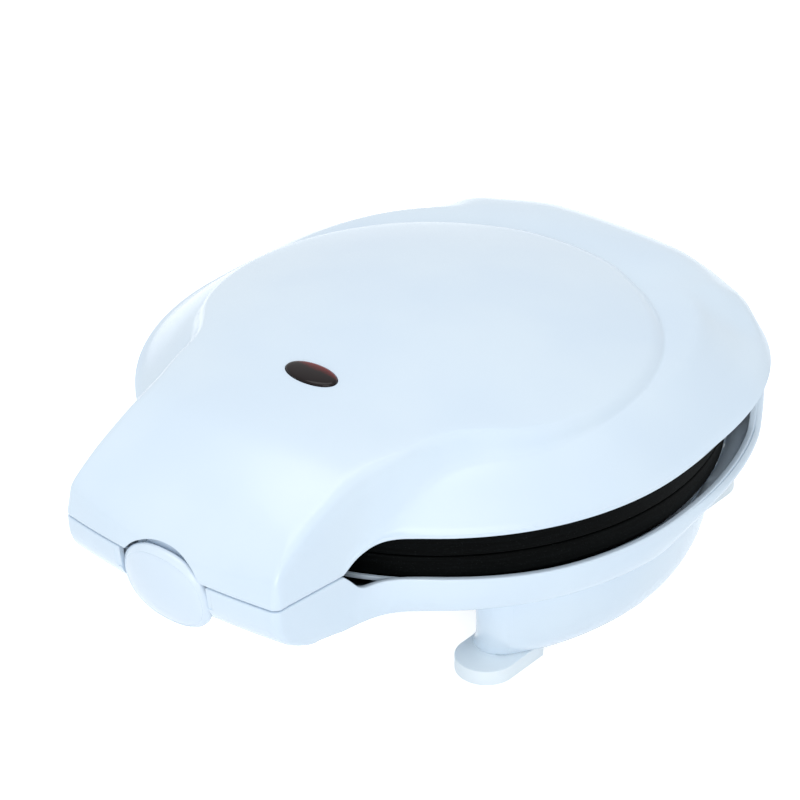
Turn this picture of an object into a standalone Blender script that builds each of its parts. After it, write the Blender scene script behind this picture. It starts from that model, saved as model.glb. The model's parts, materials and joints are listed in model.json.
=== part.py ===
"""Round sandwich maker: white moulded lid and base with a front handle,
two cast non-stick plates, tube heaters, a rear hinge and a front latch.

Metres, +Z up.  The front (handle and latch) points to -Y and the hinge is at +Y.
The shells are laid out around the centre of the round body, and one empty
moves everything so that the origin is below the middle of the whole outline.
"""

import math

import bmesh
import bpy
import numpy as np
from mathutils import Matrix, Vector

# overall outline, seen from above, measured from the centre of the round body
BODY_RADIUS = 0.107
REAR_BULGE = 0.0125
REAR_REACH = BODY_RADIUS + REAR_BULGE
REAR_POWER = 2.65
REAR_TUCK_SHARE = 0.97
HANDLE_LENGTH = 0.0376
HANDLE_REACH = BODY_RADIUS + HANDLE_LENGTH
HANDLE_BOW = 0.0034
HANDLE_CORNER = 0.0038
LATCH_PROUD = 0.0022
CENTRE_Y = (HANDLE_REACH + LATCH_PROUD - REAR_REACH) / 2

# heights of the main lines
TOP_Z = 0.100
SHOULDER_FOOT_Z = 0.0835
LID_EDGE_Z = 0.0656
HANDLE_PART_Z = 0.0578
RIM_Z = 0.0482
HANDLE_FLOOR_Z = 0.0348
LEDGE_Z = 0.0345
BOWL_Z = 0.010
HINGE_GAP_Z = 0.0568

# walls and clearances
SHELL_WALL = 0.0023
FIT_GAP = 0.0003
PART_GAP = 0.0006
RUN_GAP = 0.0003
CUT_OVERRUN = 0.001
SINK = 0.0006
SAME_PLACE = 0.000001
MERGE_REACH = 0.00001

# raised panel on the lid
SHOULDER_WIDTH = 0.0255
PANEL_RADIUS = BODY_RADIUS - SHOULDER_WIDTH
PANEL_CENTRE_Y = -0.0046
PANEL_CROWN = 0.012
PANEL_FOCUS_Y = -0.020
CREASE_ROUND = 0.0009
LIP_HEIGHT = 0.0016

# how many points and rings the two shells have
FRONT_POINTS = 3
CORNER_POINTS = 3
SIDE_POINTS = 5
NECK_POINTS = 4
ROUND_POINTS = 16
SCOOP_ANGLE = math.radians(-58.0)
SCOOP_CROWDING = 1.15

# side of the handle: share of the reach, then half width in shares of the widest
HANDLE_HALF_WIDTH = 0.0506
HANDLE_SIDE_SHARES = [(0.935, 0.950), (0.866, 0.970), (0.761, 1.000)]
NECK_SIDE_SHARES = [(0.761, 1.000), (0.712, 1.026), (0.663, 1.072), (0.626, 1.133)]
CREASE_INSET = 0.0042
CREASE_HALF_WIDTH = HANDLE_HALF_WIDTH - CREASE_INSET
CREASE_SETBACK = 0.0018
CREASE_REACH = HANDLE_REACH - CREASE_SETBACK
CREASE_SIDE_SHARES = [(0.935, 1.000), (0.829, 1.006), (0.726, 1.022)]
CREASE_NECK_SHARES = [(0.726, 1.022), (0.655, 1.046), (0.5985, 1.085)]
CREASE_ROUND_SHARES = [
    (-58.0, 1.162), (-53.0, 1.075), (-48.0, 1.012), (-42.0, 0.982),
    (-37.0, 0.978), (-30.0, 0.992), (-20.0, 1.000), (90.0, 1.000),
]

# lid height along the middle: share of the handle reach, share of the rise
SPINE_SHARES = [
    (-1.000, 0.010), (-0.990, 0.140), (-0.978, 0.235), (-0.940, 0.370),
    (-0.890, 0.500), (-0.837, 0.612), (-0.773, 0.715), (-0.724, 0.785),
    (-0.622, 0.860), (-0.463, 0.925), (-0.311, 0.974), (-0.138, 1.000),
    (0.138, 0.953), (0.346, 0.853), (0.532, 0.716), (0.823, 0.500),
]
CROWN_SHARES = [(-1.0, 0.02), (-0.9, 0.30), (-0.78, 0.62), (-0.4, 0.90), (-0.14, 1.0), (0.9, 1.0)]

# shoulder section: share of the way in from the edge, share of the rise
SHOULDER_SIDE_SHARES = [
    (-1.0, -0.9), (0.0, 0.0), (0.10, 0.16), (0.35, 0.47), (0.61, 0.75), (0.87, 0.945),
    (1.0, 1.0), (1.5, 1.03), (5.0, 1.03),
]
SHOULDER_REAR_SHARES = [
    (-1.0, -2.0), (0.0, 0.05), (0.04, 0.22), (0.08, 0.38), (0.20, 0.72), (0.47, 0.97),
    (0.94, 1.11), (1.37, 1.14), (5.0, 1.14),
]
SHOULDER_QUARTER_SHARES = [
    (-1.0, -1.6), (0.0, 0.04), (0.02, 0.14), (0.06, 0.22), (0.20, 0.34), (0.43, 0.48),
    (0.61, 0.64), (0.80, 0.81), (0.93, 0.95), (1.0, 1.0), (1.5, 1.03), (5.0, 1.03),
]
SHOULDER_HUMP_SHARES = [
    (-1.0, -2.0), (0.0, 0.05), (0.04, 0.25), (0.08, 0.42), (0.12, 0.53), (0.28, 0.69),
    (0.46, 0.85), (0.70, 0.95), (0.94, 1.01), (1.37, 1.05), (5.0, 1.05),
]
TUCK_START = math.radians(0.0)
TUCK_END = math.radians(40.0)
SHOULDER_STATIONS = [
    (math.radians(15.0), SHOULDER_SIDE_SHARES), (math.radians(48.0), SHOULDER_QUARTER_SHARES),
    (math.radians(61.0), SHOULDER_HUMP_SHARES), (math.radians(76.0), SHOULDER_REAR_SHARES),
]

# lid rings: share of the way from the lower edge to the crease, then share of the panel
LID_WALL_SHARES = [0.08, 0.26, 0.50, 0.74, 0.90, 0.955, 1.0]
LID_PANEL_SHARES = [0.965, 0.88, 0.77, 0.62, 0.42, 0.20]
LID_INNER_WALL_SHARES = [0.20, 0.60, 0.90]
LID_INNER_PANEL_SHARES = [0.93, 0.77, 0.55, 0.20]
WALL_BEND_TONGUE = 1.1
WALL_BEND_ROUND = 3.0

# edges that sweep between the handle's parting line and the round body's rims
SWEEP_UP_SHARES = [(0.0, 0.0), (0.25, 0.45), (0.5, 0.75), (0.75, 0.93), (1.0, 1.0)]
DIP_SHARES = [(0.0, 0.0), (0.2, 0.35), (0.5, 0.88), (0.75, 1.0), (1.0, 1.0)]
REAR_RISE_START_Y = 0.059
REAR_RISE_END_Y = 0.073

# base flange and bowl
FLANGE_TAPER = 0.003
FLANGE_BEND = 3.0
HANDLE_UNDERCUT = 0.0184
HANDLE_FLOOR_REACH = HANDLE_REACH - HANDLE_UNDERCUT
HANDLE_FLOOR_HALF_SHARE = 0.985
HANDLE_FLOOR_WIDTH = 0.0202
HANDLE_FLOOR_INNER_Y = HANDLE_FLOOR_REACH - HANDLE_FLOOR_WIDTH
FLANGE_SHARES = [0.40, 0.68, 0.88, 1.0]
LEDGE_INSET = 0.0065
LEDGE_RADIUS = BODY_RADIUS - LEDGE_INSET
BOWL_SHARES = [(0.98, 0.94), (0.86, 0.635), (0.74, 0.355), (0.62, 0.11), (0.50, 0.0)]
BOWL_INSET = 0.007
BOWL_UNIT = BODY_RADIUS - BOWL_INSET

# side skirts that carry the base: distance in from the body and height, down the outside
SKIRT_INSETS = [(0.0060, 0.0355), (0.0070, 0.0250), (0.0090, 0.0160), (0.0130, 0.0085),
                (0.0170, 0.0045), (0.0198, 0.0022)]
SKIRT_TOP_Z = SKIRT_INSETS[0][1]
SKIRT_WALL = 0.0028
SKIRT_START = math.radians(-33.0)
SKIRT_END = math.radians(49.0)
SKIRT_STEPS = 12
COLUMN_RADIUS = 0.0095
COLUMN_TOP_INSET = 0.0162
COLUMN_LOW_INSET = 0.0225
COLUMN_TOP_PLACE = BODY_RADIUS - COLUMN_TOP_INSET
COLUMN_LOW_PLACE = BODY_RADIUS - COLUMN_LOW_INSET

# feet
FOOT_HEIGHT = 0.0058
FOOT_WIDTH = 0.022
FOOT_ASIDE = -0.0019
FOOT_AHEAD = 0.0235
FOOT_BEHIND = 0.0080
REAR_FOOT_ASIDE = 0.0016
REAR_FOOT_AHEAD = 0.0083
REAR_FOOT_BEHIND = 0.0332
FOOT_SPIGOT_RADIUS = 0.0035
FOOT_SPIGOT_HEIGHT = 0.005

# plates
PLATE_RADIUS = BODY_RADIUS - SHELL_WALL - FIT_GAP
PLATE_PART_Z = 0.0570
PLATE_LAND = 0.0035
RIM_STEP = PLATE_PART_Z - RIM_Z - FIT_GAP
PLATE_LIP = 0.0005
SKIRT_INSET = 0.0020
LOWER_SKIRT_Z = 0.0430
UPPER_SKIRT_Z = 0.0654
PLATE_SKIRT_WALL = 0.0025
POCKET_DEPTH = 0.0100
POCKET_FLOOR = 0.0025
BLOCK_WALL = 0.0065
BLOCK_ROUND = 0.014
BLOCK_MARGIN = 0.0074
BLOCK_REACH = PLATE_RADIUS - SKIRT_INSET - PLATE_SKIRT_WALL - BLOCK_MARGIN
SQUARE_SIDE = 2 * ((BLOCK_REACH - BLOCK_ROUND) / math.sqrt(2) + BLOCK_ROUND - BLOCK_WALL)
RIDGE_WIDTH = 0.0060
POCKET_DRAFT = 0.0045
POCKET_ROUND = 0.0022
POCKET_APEX_SHARE = 1.5
POCKET_END_SHARE = 2.0
DRIP_WIDTH = 0.0022
DRIP_DEPTH = 0.0012
DRIP_OFFSET = 0.0035
PLATE_STEPS = 48

# plate screws and the posts that take them
SCREW_OFFSET = 0.0165
SCREW_CIRCLE = SQUARE_SIDE / 2 + BLOCK_WALL + SCREW_OFFSET
SCREW_HEAD_RADIUS = 0.0035
SCREW_HEAD_HEIGHT = 0.0020
SCREW_RADIUS = 0.0015
SCREW_LENGTH = 0.014
POST_RADIUS = 0.0045
POST_SINK = SHELL_WALL / 3
DRIVE_WIDTH = 0.0010
DRIVE_LENGTH = 0.0044
DRIVE_DEPTH = 0.0009

# heaters
ELEMENT_RING = 0.0450
ELEMENT_RADIUS = 0.00325
ELEMENT_GAP_ANGLE = math.radians(26.0)
ELEMENT_TAIL = 0.012
ELEMENT_POINTS = 26
CLAMP_WIDTH = 0.009
CLAMP_WALL = 0.0012
CLAMP_REACH = 0.0115
SHIELD_MARGIN = 0.013
SHIELD_RADIUS = SQUARE_SIDE / 2 + SHIELD_MARGIN
SHIELD_WALL = 0.0008
SHIELD_RISE = 0.0065
SHIELD_HOLE = 0.019
LEAD_SLOT_HALF = 0.022
LEAD_SLOT_Y = 0.050

# thermostat, fuse, terminal block
THERMOSTAT_RADIUS = 0.008
THERMOSTAT_HEIGHT = 0.0065
THERMOSTAT_TAB = 0.0063
TAB_THICK = 0.0008
FUSE_RADIUS = 0.0022
FUSE_LENGTH = 0.015
FUSE_Y = -0.0118
BLOCK_SIZE = (0.024, 0.014, 0.011)
BLOCK_Y = 0.030
GLAND_Z = 0.0455
GLAND_FLANGE_RADIUS = 0.0075
GLAND_BODY_RADIUS = 0.0052
GLAND_BORE = 0.0034
GLAND_FLANGE = 0.0022
GLAND_INNER = 0.0045

# hinge
HINGE_SETBACK = 0.0075
HINGE_Y = REAR_REACH - HINGE_SETBACK
HINGE_Z = LID_EDGE_Z
DRUM_RADIUS = 0.0065
DRUM_HALF = 0.0340
CHAMBER_REAR = 0.0048
CHAMBER_TOP = 0.0042
LUG_RADIUS = 0.0060
LUG_THICK = 0.0075
LUG_FOOT_Z = 0.041
LUG_STEM_FRONT = 0.0085
LUG_STEM_REAR = 0.0030
LUG_GAP = 0.0004
HINGE_DIP_MARGIN = 0.0015
HINGE_DIP_SLOPE = 0.006
HINGE_DIP_INNER = DRUM_HALF + LUG_THICK + HINGE_DIP_MARGIN
HINGE_DIP_OUTER = HINGE_DIP_INNER + HINGE_DIP_SLOPE
PIN_RADIUS = 0.0020
PIN_REACH_IN = 0.0090
SLEEVE_RADIUS = 0.0016
SLEEVE_X = 0.0175
SLEEVE_TURN_SHARE = 0.6
SLEEVE_END_SHARE = 0.8
CHAMBER_SIDE_GAP = 0.0034
CHAMBER_HALF = SLEEVE_X + SLEEVE_RADIUS + CHAMBER_SIDE_GAP

# latch
LATCH_HALF_WIDTH = 0.0192
LATCH_TOP_Z = 0.0660
LATCH_BOTTOM_Z = 0.0325
LATCH_LEAN = math.radians(9.0)
LATCH_DOME = 0.0050
LATCH_THICK = 0.0022
LATCH_FULLNESS = 0.6
LATCH_PIVOT_SETBACK = 0.0074
LATCH_PIVOT_Y = LATCH_PIVOT_SETBACK - HANDLE_REACH
LATCH_PIVOT_RISE = 0.0026
LATCH_PIVOT_Z = HANDLE_PART_Z + LATCH_PIVOT_RISE
LATCH_PIN_RADIUS = 0.0012
LATCH_KNUCKLE_RADIUS = 0.0026
LATCH_KNUCKLE_HALF = 0.0105
LATCH_EAR = 0.0035
NOTCH_GAP = 0.0010
NOTCH_FRONT = 0.009
NOTCH_DEPTH = 0.0075
SEAT_HALF = 0.0225
SEAT_BOTTOM_Z = 0.0475
SEAT_TOP_Z = 0.0545
SEAT_DEPTH = 0.0085

# indicator lens and lamp
LENS_INSET = 0.0145
LENS_Y = LENS_INSET - PANEL_RADIUS
LENS_HALF_LENGTH = 0.0110
LENS_HALF_WIDTH = 0.0057
LENS_PROUD = 0.0007
LENS_FLANGE = 0.0018
LENS_DEPTH = 0.0055
LENS_TILT = math.radians(6.0)
LAMP_RADIUS = 0.0028
LAMP_LENGTH = 0.013
LAMP_DROP = 0.0125
HOLDER_WALL = 0.0014

# leads
LEAD_RADIUS = 0.0010
LEAD_POINTS = 12
SLEEVE_POINTS = 26

# how finely round things are cut
FINE_STEPS = 28
SMALL_STEPS = 16
TINY_STEPS = 10

COLLECTION = "sandwich_maker"
CUTTERS = "cutters"


# scene helpers

def clear_scene():
    for old in list(bpy.data.objects):
        bpy.data.objects.remove(old, do_unlink=True)
    for name in (COLLECTION, CUTTERS):
        group = bpy.data.collections.new(name)
        bpy.context.scene.collection.children.link(group)
        GROUPS[name] = group


GROUPS = {}
ANCHORS = {}


def add_anchor(name, position, parent=None):
    """An empty on a joint's axis; positions are in the round body's own frame."""
    anchor = bpy.data.objects.new(name, None)
    GROUPS[COLLECTION].objects.link(anchor)
    anchor.location = position
    if parent is not None:
        anchor.parent = parent
        anchor.matrix_parent_inverse = Matrix.Identity(4)
        anchor.location = Vector(position) - Vector(ANCHORS[parent.name])
    ANCHORS[name] = Vector(position)
    return anchor


def to_linear(value):
    return value / 12.92 if value <= 0.04045 else ((value + 0.055) / 1.055) ** 2.4


def give_finish(piece, colour, roughness, metallic=0.0):
    """One Principled material for one piece, its colour written as sRGB hex."""
    material = bpy.data.materials.new(piece.name + "_finish")
    material.use_nodes = True
    shader = next(n for n in material.node_tree.nodes if n.type == "BSDF_PRINCIPLED")
    channels = [to_linear(int(colour[i:i + 2], 16) / 255) for i in (1, 3, 5)]
    shader.inputs["Base Color"].default_value = (*channels, 1)
    shader.inputs["Roughness"].default_value = roughness
    shader.inputs["Metallic"].default_value = metallic
    material.diffuse_color = (*channels, 1)
    piece.data.materials.clear()
    piece.data.materials.append(material)


def from_bmesh(name, bm, cutter=False):
    mesh = bpy.data.meshes.new(name)
    bm.to_mesh(mesh)
    bm.free()
    return from_mesh(name, mesh, cutter)


def from_mesh(name, mesh, cutter=False):
    piece = bpy.data.objects.new(name, mesh)
    GROUPS[CUTTERS if cutter else COLLECTION].objects.link(piece)
    if cutter:
        piece.hide_render = True
        piece.display_type = "WIRE"
    return piece


def carry(piece, anchor):
    """Parent a piece and its cutters to a joint's empty without moving their points."""
    piece.parent = anchor
    piece.matrix_parent_inverse = Matrix.Translation(-ANCHORS[anchor.name])
    for step in piece.modifiers:
        if step.type == "BOOLEAN":
            carry(step.object, anchor)
    return piece


def smooth(piece, angle=math.radians(32)):
    piece.data.shade_smooth()
    piece.data.set_sharp_from_angle(angle=angle)
    return piece


def boolean(target, tool, operation):
    step = target.modifiers.new(operation.lower() + "_" + tool.name, "BOOLEAN")
    step.object = tool
    step.operation = operation
    step.solver = "EXACT"
    return target


def cut(target, *tools):
    for tool in tools:
        boolean(target, tool, "DIFFERENCE")
    return target


def join(target, *tools):
    for tool in tools:
        boolean(target, tool, "UNION")
    return target


def box_between(name, low, high, cutter=False):
    """A box from its lowest to its highest corner."""
    bm = bmesh.new()
    bmesh.ops.create_cube(bm, size=1)
    low, high = Vector(low), Vector(high)
    size = high - low
    bmesh.ops.scale(bm, vec=size, verts=bm.verts)
    bmesh.ops.translate(bm, vec=(low + high) / 2, verts=bm.verts)
    return from_bmesh(name, bm, cutter)


def rod(name, start, end, radius, steps=SMALL_STEPS, cutter=False, end_radius=None):
    """A cylinder or cone between two points."""
    start, end = Vector(start), Vector(end)
    along = end - start
    bm = bmesh.new()
    bmesh.ops.create_cone(bm, cap_ends=True, segments=steps, radius1=radius,
                          radius2=radius if end_radius is None else end_radius,
                          depth=along.length)
    turn = Vector((0, 0, 1)).rotation_difference(along.normalized()).to_matrix().to_4x4()
    bmesh.ops.transform(bm, matrix=Matrix.Translation((start + end) / 2) @ turn, verts=bm.verts)
    return from_bmesh(name, bm, cutter)


def turned(name, profile, steps, cutter=False):
    """Turn a closed profile, listed down its outer side, about the Z axis."""
    bm = bmesh.new()
    points = [bm.verts.new((radius, 0, height)) for radius, height in profile]
    for first, second in zip(points, points[1:]):
        bm.edges.new((first, second))
    if profile[0][0] > 0:
        bm.edges.new((points[-1], points[0]))
    piece = from_bmesh(name, bm, cutter)
    screw = piece.modifiers.new("turn", "SCREW")
    screw.steps = steps
    screw.render_steps = steps
    screw.use_merge_vertices = True
    screw.merge_threshold = MERGE_REACH
    screw.use_normal_calculate = False
    return piece


def flat_outline(name, points, low, high, cutter=False):
    """A prism with a closed outline between two heights."""
    bm = bmesh.new()
    face = bm.faces.new([bm.verts.new((x, y, low)) for x, y in points])
    bmesh.ops.recalc_face_normals(bm, faces=[face])
    if face.normal.z > 0:
        face.normal_flip()
    raised = bmesh.ops.extrude_face_region(bm, geom=[face])
    top = [item for item in raised["geom"] if isinstance(item, bmesh.types.BMVert)]
    bmesh.ops.translate(bm, vec=(0, 0, high - low), verts=top)
    bmesh.ops.recalc_face_normals(bm, faces=bm.faces)
    return from_bmesh(name, bm, cutter)


def tube(name, points, radius, steps=2, radii=None):
    """A tube along a smooth run through the given points."""
    curve = bpy.data.curves.new(name, "CURVE")
    curve.dimensions = "3D"
    curve.bevel_depth = radius
    curve.bevel_resolution = steps
    curve.use_fill_caps = True
    spline = curve.splines.new("POLY")
    spline.points.add(len(points) - 1)
    for index, point in enumerate(points):
        spline.points[index].co = (*point, 1)
        spline.points[index].radius = 1 if radii is None else radii[index]
    piece = bpy.data.objects.new(name, curve)
    GROUPS[COLLECTION].objects.link(piece)
    return piece


def smooth_run(points, count):
    """Points spaced along a Catmull-Rom curve through the given ones."""
    knots = [Vector(p) for p in points]
    knots = [2 * knots[0] - knots[1]] + knots + [2 * knots[-1] - knots[-2]]
    run = []
    spans = len(knots) - 3
    for index in range(count):
        place = index * spans / (count - 1)
        span = min(int(place), spans - 1)
        t = place - span
        a, b, c, d = knots[span:span + 4]
        run.append(0.5 * (2 * b + (c - a) * t + (2 * a - 5 * b + 4 * c - d) * t * t
                          + (3 * b - a - 3 * c + d) * t * t * t))
    return run


# smooth tables and blends

def follow(table, place):
    """A smooth monotone curve through a table of (place, value) pairs."""
    xs = np.array([row[0] for row in table], float)
    ys = np.array([row[1] for row in table], float)
    slopes = np.diff(ys) / np.diff(xs)
    tangents = np.concatenate(([slopes[0]], (slopes[1:] + slopes[:-1]) / 2, [slopes[-1]]))
    for i, slope in enumerate(slopes):
        if slope == 0:
            tangents[i] = tangents[i + 1] = 0
            continue
        a, b = tangents[i] / slope, tangents[i + 1] / slope
        if a < 0:
            tangents[i] = a = 0
        if b < 0:
            tangents[i + 1] = b = 0
        size = math.hypot(a, b)
        if size > 3:
            tangents[i] = 3 * a / size * slope
            tangents[i + 1] = 3 * b / size * slope
    place = min(max(place, xs[0]), xs[-1])
    i = min(int(np.searchsorted(xs, place, side="right")) - 1, len(slopes) - 1)
    span = xs[i + 1] - xs[i]
    t = (place - xs[i]) / span
    return float((2 * t ** 3 - 3 * t ** 2 + 1) * ys[i] + (t ** 3 - 2 * t ** 2 + t) * span * tangents[i]
                 + (3 * t ** 2 - 2 * t ** 3) * ys[i + 1] + (t ** 3 - t ** 2) * span * tangents[i + 1])


def ease(value, start, end):
    t = min(max((value - start) / (end - start), 0), 1)
    return t * t * (3 - 2 * t)


def soft_max(a, b, width):
    h = max(width - abs(a - b), 0) / width
    return max(a, b) + h * h * width / 4


# outlines of the shells, seen from above

def body_radius(angle):
    """Radius of the widest outline: round in front, fuller at the rear."""
    if angle <= 0:
        return BODY_RADIUS
    across = abs(math.cos(angle)) / BODY_RADIUS
    along = abs(math.sin(angle)) / REAR_REACH
    return (across ** REAR_POWER + along ** REAR_POWER) ** (-1 / REAR_POWER)


def tuck(angle):
    """How far the lid's lower edge is drawn in under its widest line."""
    return 1 - (1 - REAR_TUCK_SHARE) * ease(angle, TUCK_START, TUCK_END)


def round_angles():
    """Angles of the points on the round part, closer together at the scoop."""
    span = math.pi / 2 - SCOOP_ANGLE
    return [SCOOP_ANGLE + span * (i / ROUND_POINTS) ** SCOOP_CROWDING for i in range(ROUND_POINTS + 1)]


def half_outline(reach, front_half, corner, side, neck, round_part):
    """Half an outline from the front middle to the rear middle, on the +X side."""
    straight = front_half - corner
    points = []
    for i in range(FRONT_POINTS):
        points.append((straight * i / FRONT_POINTS, -reach + HANDLE_BOW * (i / FRONT_POINTS) ** 2))
    for i in range(CORNER_POINTS):
        turn = math.pi / 2 * i / CORNER_POINTS
        points.append((straight + corner * math.sin(turn),
                       -reach + HANDLE_BOW + corner * (1 - math.cos(turn))))
    points += side
    points += neck
    points += round_part
    return points


def side_run(shares, reach, half_width, count, last):
    """Points down the handle's side, from shares of its reach and half width."""
    ends = shares[0][0], shares[-1][0]
    table = [(-share, width) for share, width in shares]
    places = [ends[0] + (ends[1] - ends[0]) * i / count for i in range(count + (1 if last else 0))]
    return [(half_width * follow(table, -place), -reach * place) for place in places]


def whole(half):
    """Both halves of an outline as one ring of (x, y), starting at the front middle."""
    return np.array(half + [(-x, y) for x, y in reversed(half[1:-1])])


def edge_outline():
    front_half = HANDLE_HALF_WIDTH * HANDLE_SIDE_SHARES[0][1]
    side = side_run(HANDLE_SIDE_SHARES, HANDLE_REACH, HANDLE_HALF_WIDTH, SIDE_POINTS, False)
    neck = side_run(NECK_SIDE_SHARES, HANDLE_REACH, HANDLE_HALF_WIDTH, NECK_POINTS, False)
    round_part = []
    for angle in round_angles():
        radius = body_radius(angle) * tuck(angle)
        round_part.append((radius * math.cos(angle), radius * math.sin(angle)))
    round_part[-1] = (0.0, round_part[-1][1])
    return whole(half_outline(HANDLE_REACH, front_half, HANDLE_CORNER, side, neck, round_part))


def widest_outline():
    """The edge outline with its rear pushed out to the widest line."""
    ring = edge_outline()
    for index, (x, y) in enumerate(ring):
        ring[index] /= tuck(math.atan2(y, abs(x)))
    return ring


def crease_outline():
    """The panel's edge, which runs on along the top of the handle's sides."""
    side = side_run(CREASE_SIDE_SHARES, HANDLE_REACH, CREASE_HALF_WIDTH, SIDE_POINTS, False)
    neck = side_run(CREASE_NECK_SHARES, HANDLE_REACH, CREASE_HALF_WIDTH, NECK_POINTS, False)
    round_part = []
    for angle in round_angles():
        radius = PANEL_RADIUS * follow(CREASE_ROUND_SHARES, math.degrees(angle))
        round_part.append((radius * math.cos(angle), PANEL_CENTRE_Y + radius * math.sin(angle)))
    round_part[-1] = (0.0, round_part[-1][1])
    corner = HANDLE_CORNER - (HANDLE_REACH - CREASE_REACH)
    half = half_outline(CREASE_REACH, CREASE_HALF_WIDTH, corner, side, neck, round_part)
    return whole(half)


def floor_outline():
    """The flange's lower edge, with the handle's front drawn back under it."""
    front_half = HANDLE_HALF_WIDTH * HANDLE_FLOOR_HALF_SHARE * HANDLE_SIDE_SHARES[0][1]
    half_width = HANDLE_HALF_WIDTH * HANDLE_FLOOR_HALF_SHARE
    draw_back = HANDLE_FLOOR_REACH / HANDLE_REACH
    neck_share = HANDLE_SIDE_SHARES[-1][0]
    first = HANDLE_SIDE_SHARES[0][0] * draw_back
    side_shares = [(first, HANDLE_SIDE_SHARES[0][1]), (neck_share, HANDLE_SIDE_SHARES[-1][1])]
    side = side_run(side_shares, HANDLE_REACH, half_width, SIDE_POINTS, False)
    neck = side_run(NECK_SIDE_SHARES, HANDLE_REACH, half_width, NECK_POINTS, False)
    round_part = []
    for angle in round_angles():
        radius = body_radius(angle) * tuck(angle) - FLANGE_TAPER
        round_part.append((radius * math.cos(angle), radius * math.sin(angle)))
    round_part[-1] = (0.0, round_part[-1][1])
    half = half_outline(HANDLE_FLOOR_REACH, front_half, HANDLE_CORNER, side, neck, round_part)
    return whole(half)


def inset(ring, distance):
    """Move an outline inwards, square to itself."""
    before, after = np.roll(ring, 1, axis=0), np.roll(ring, -1, axis=0)
    along = after - before
    along /= np.linalg.norm(along, axis=1)[:, None]
    inward = np.stack((-along[:, 1], along[:, 0]), axis=1)
    return ring + inward * distance


def circle_like(ring, radius):
    """A circle whose points keep the order and spread of an outline's points."""
    half = len(ring) // 2
    front = FRONT_POINTS + CORNER_POINTS + SIDE_POINTS + NECK_POINTS
    angles = [-math.pi / 2 + (SCOOP_ANGLE + math.pi / 2) * i / front for i in range(front)]
    angles += round_angles()
    points = [(radius * math.cos(a), radius * math.sin(a)) for a in angles]
    points[0] = (0.0, -radius)
    points[half] = (0.0, radius)
    return whole(points)


# heights over the outlines

def is_handle(index, count):
    """True for the points along the handle's front and sides."""
    front = FRONT_POINTS + CORNER_POINTS + SIDE_POINTS
    return index <= front or index >= count - front


def sweep_share(y):
    """Share of the way from the handle's neck to the round body."""
    neck_y = -HANDLE_REACH * NECK_SIDE_SHARES[0][0]
    body_y = -HANDLE_REACH * NECK_SIDE_SHARES[-1][0]
    return min(max((y - neck_y) / (body_y - neck_y), 0), 1)


def lid_edge_z(x, y):
    rise = LID_EDGE_Z - HANDLE_PART_Z
    return HANDLE_PART_Z + rise * follow(SWEEP_UP_SHARES, sweep_share(y))


def rim_z(x, y):
    """Top edge of the base: handle, open rim, raised rear and the dip at the hinge."""
    handle_top = HANDLE_PART_Z - PART_GAP
    height = handle_top + (RIM_Z - handle_top) * follow(DIP_SHARES, sweep_share(y))
    rear_top = LID_EDGE_Z - PART_GAP
    height += (rear_top - RIM_Z) * ease(y, REAR_RISE_START_Y, REAR_RISE_END_Y)
    if y > 0:
        height += (HINGE_GAP_Z - rear_top) * (1 - ease(abs(x), HINGE_DIP_INNER, HINGE_DIP_OUTER))
    return height


def panel_z(x, y):
    """The crowned panel and the top of the handle."""
    place = y / HANDLE_REACH
    spine = HANDLE_PART_Z + (TOP_Z - HANDLE_PART_Z) * follow(SPINE_SHARES, place)
    return spine - PANEL_CROWN * follow(CROWN_SHARES, place) * (x / PANEL_RADIUS) ** 2


def shoulder_z(x, y):
    """The sloping shoulder between the lid's edge and its panel."""
    angle = math.atan2(y, abs(x))
    radius = math.hypot(x, y) / body_radius(angle) * BODY_RADIUS
    place = (BODY_RADIUS - radius) / (BODY_RADIUS - PANEL_RADIUS - LIP_HEIGHT)
    share = follow(SHOULDER_SIDE_SHARES, place)
    for (start, _), (end, table) in zip(SHOULDER_STATIONS, SHOULDER_STATIONS[1:]):
        share += (follow(table, place) - share) * ease(angle, start, end)
    return LID_EDGE_Z + (SHOULDER_FOOT_Z - LID_EDGE_Z) * share


def lid_top_z(x, y):
    """Top of the lid: the panel carries on over the handle, the shoulder lies lower."""
    if y < 0 and abs(x) < CREASE_HALF_WIDTH:
        return panel_z(x, y)
    return min(panel_z(x, y), shoulder_z(x, y))


def wall_bend(index, count, y):
    """How hollow the wall is: nearly straight on the handle, a late step round the panel."""
    if is_handle(index, count):
        return WALL_BEND_TONGUE
    return WALL_BEND_TONGUE + (WALL_BEND_ROUND - WALL_BEND_TONGUE) * sweep_share(y)


def wall_ring(share, edge, widest, crease):
    """One ring of the lid between its widest line and the panel's edge."""
    count = len(edge)
    ring = widest + (crease - widest) * share
    points = []
    for index, (x, y) in enumerate(ring):
        low = lid_edge_z(*edge[index]) + LIP_HEIGHT
        high = panel_z(*crease[index]) - CREASE_ROUND
        wall = low + (high - low) * share ** wall_bend(index, count, edge[index][1])
        height = wall
        if not is_handle(index, count):
            height = soft_max(wall, shoulder_z(x, y), CREASE_ROUND * 2)
        points.append((x, y, max(height, low + LIP_HEIGHT * share)))
    return points


def panel_ring(share, crease):
    """One ring of the panel, drawn in towards its focus."""
    focus = np.array((0.0, PANEL_FOCUS_Y))
    return [(x, y, panel_z(x, y)) for x, y in focus + (crease - focus) * share]


def flat_ring(ring, height_of):
    return [(x, y, height_of(x, y)) for x, y in ring]


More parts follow.
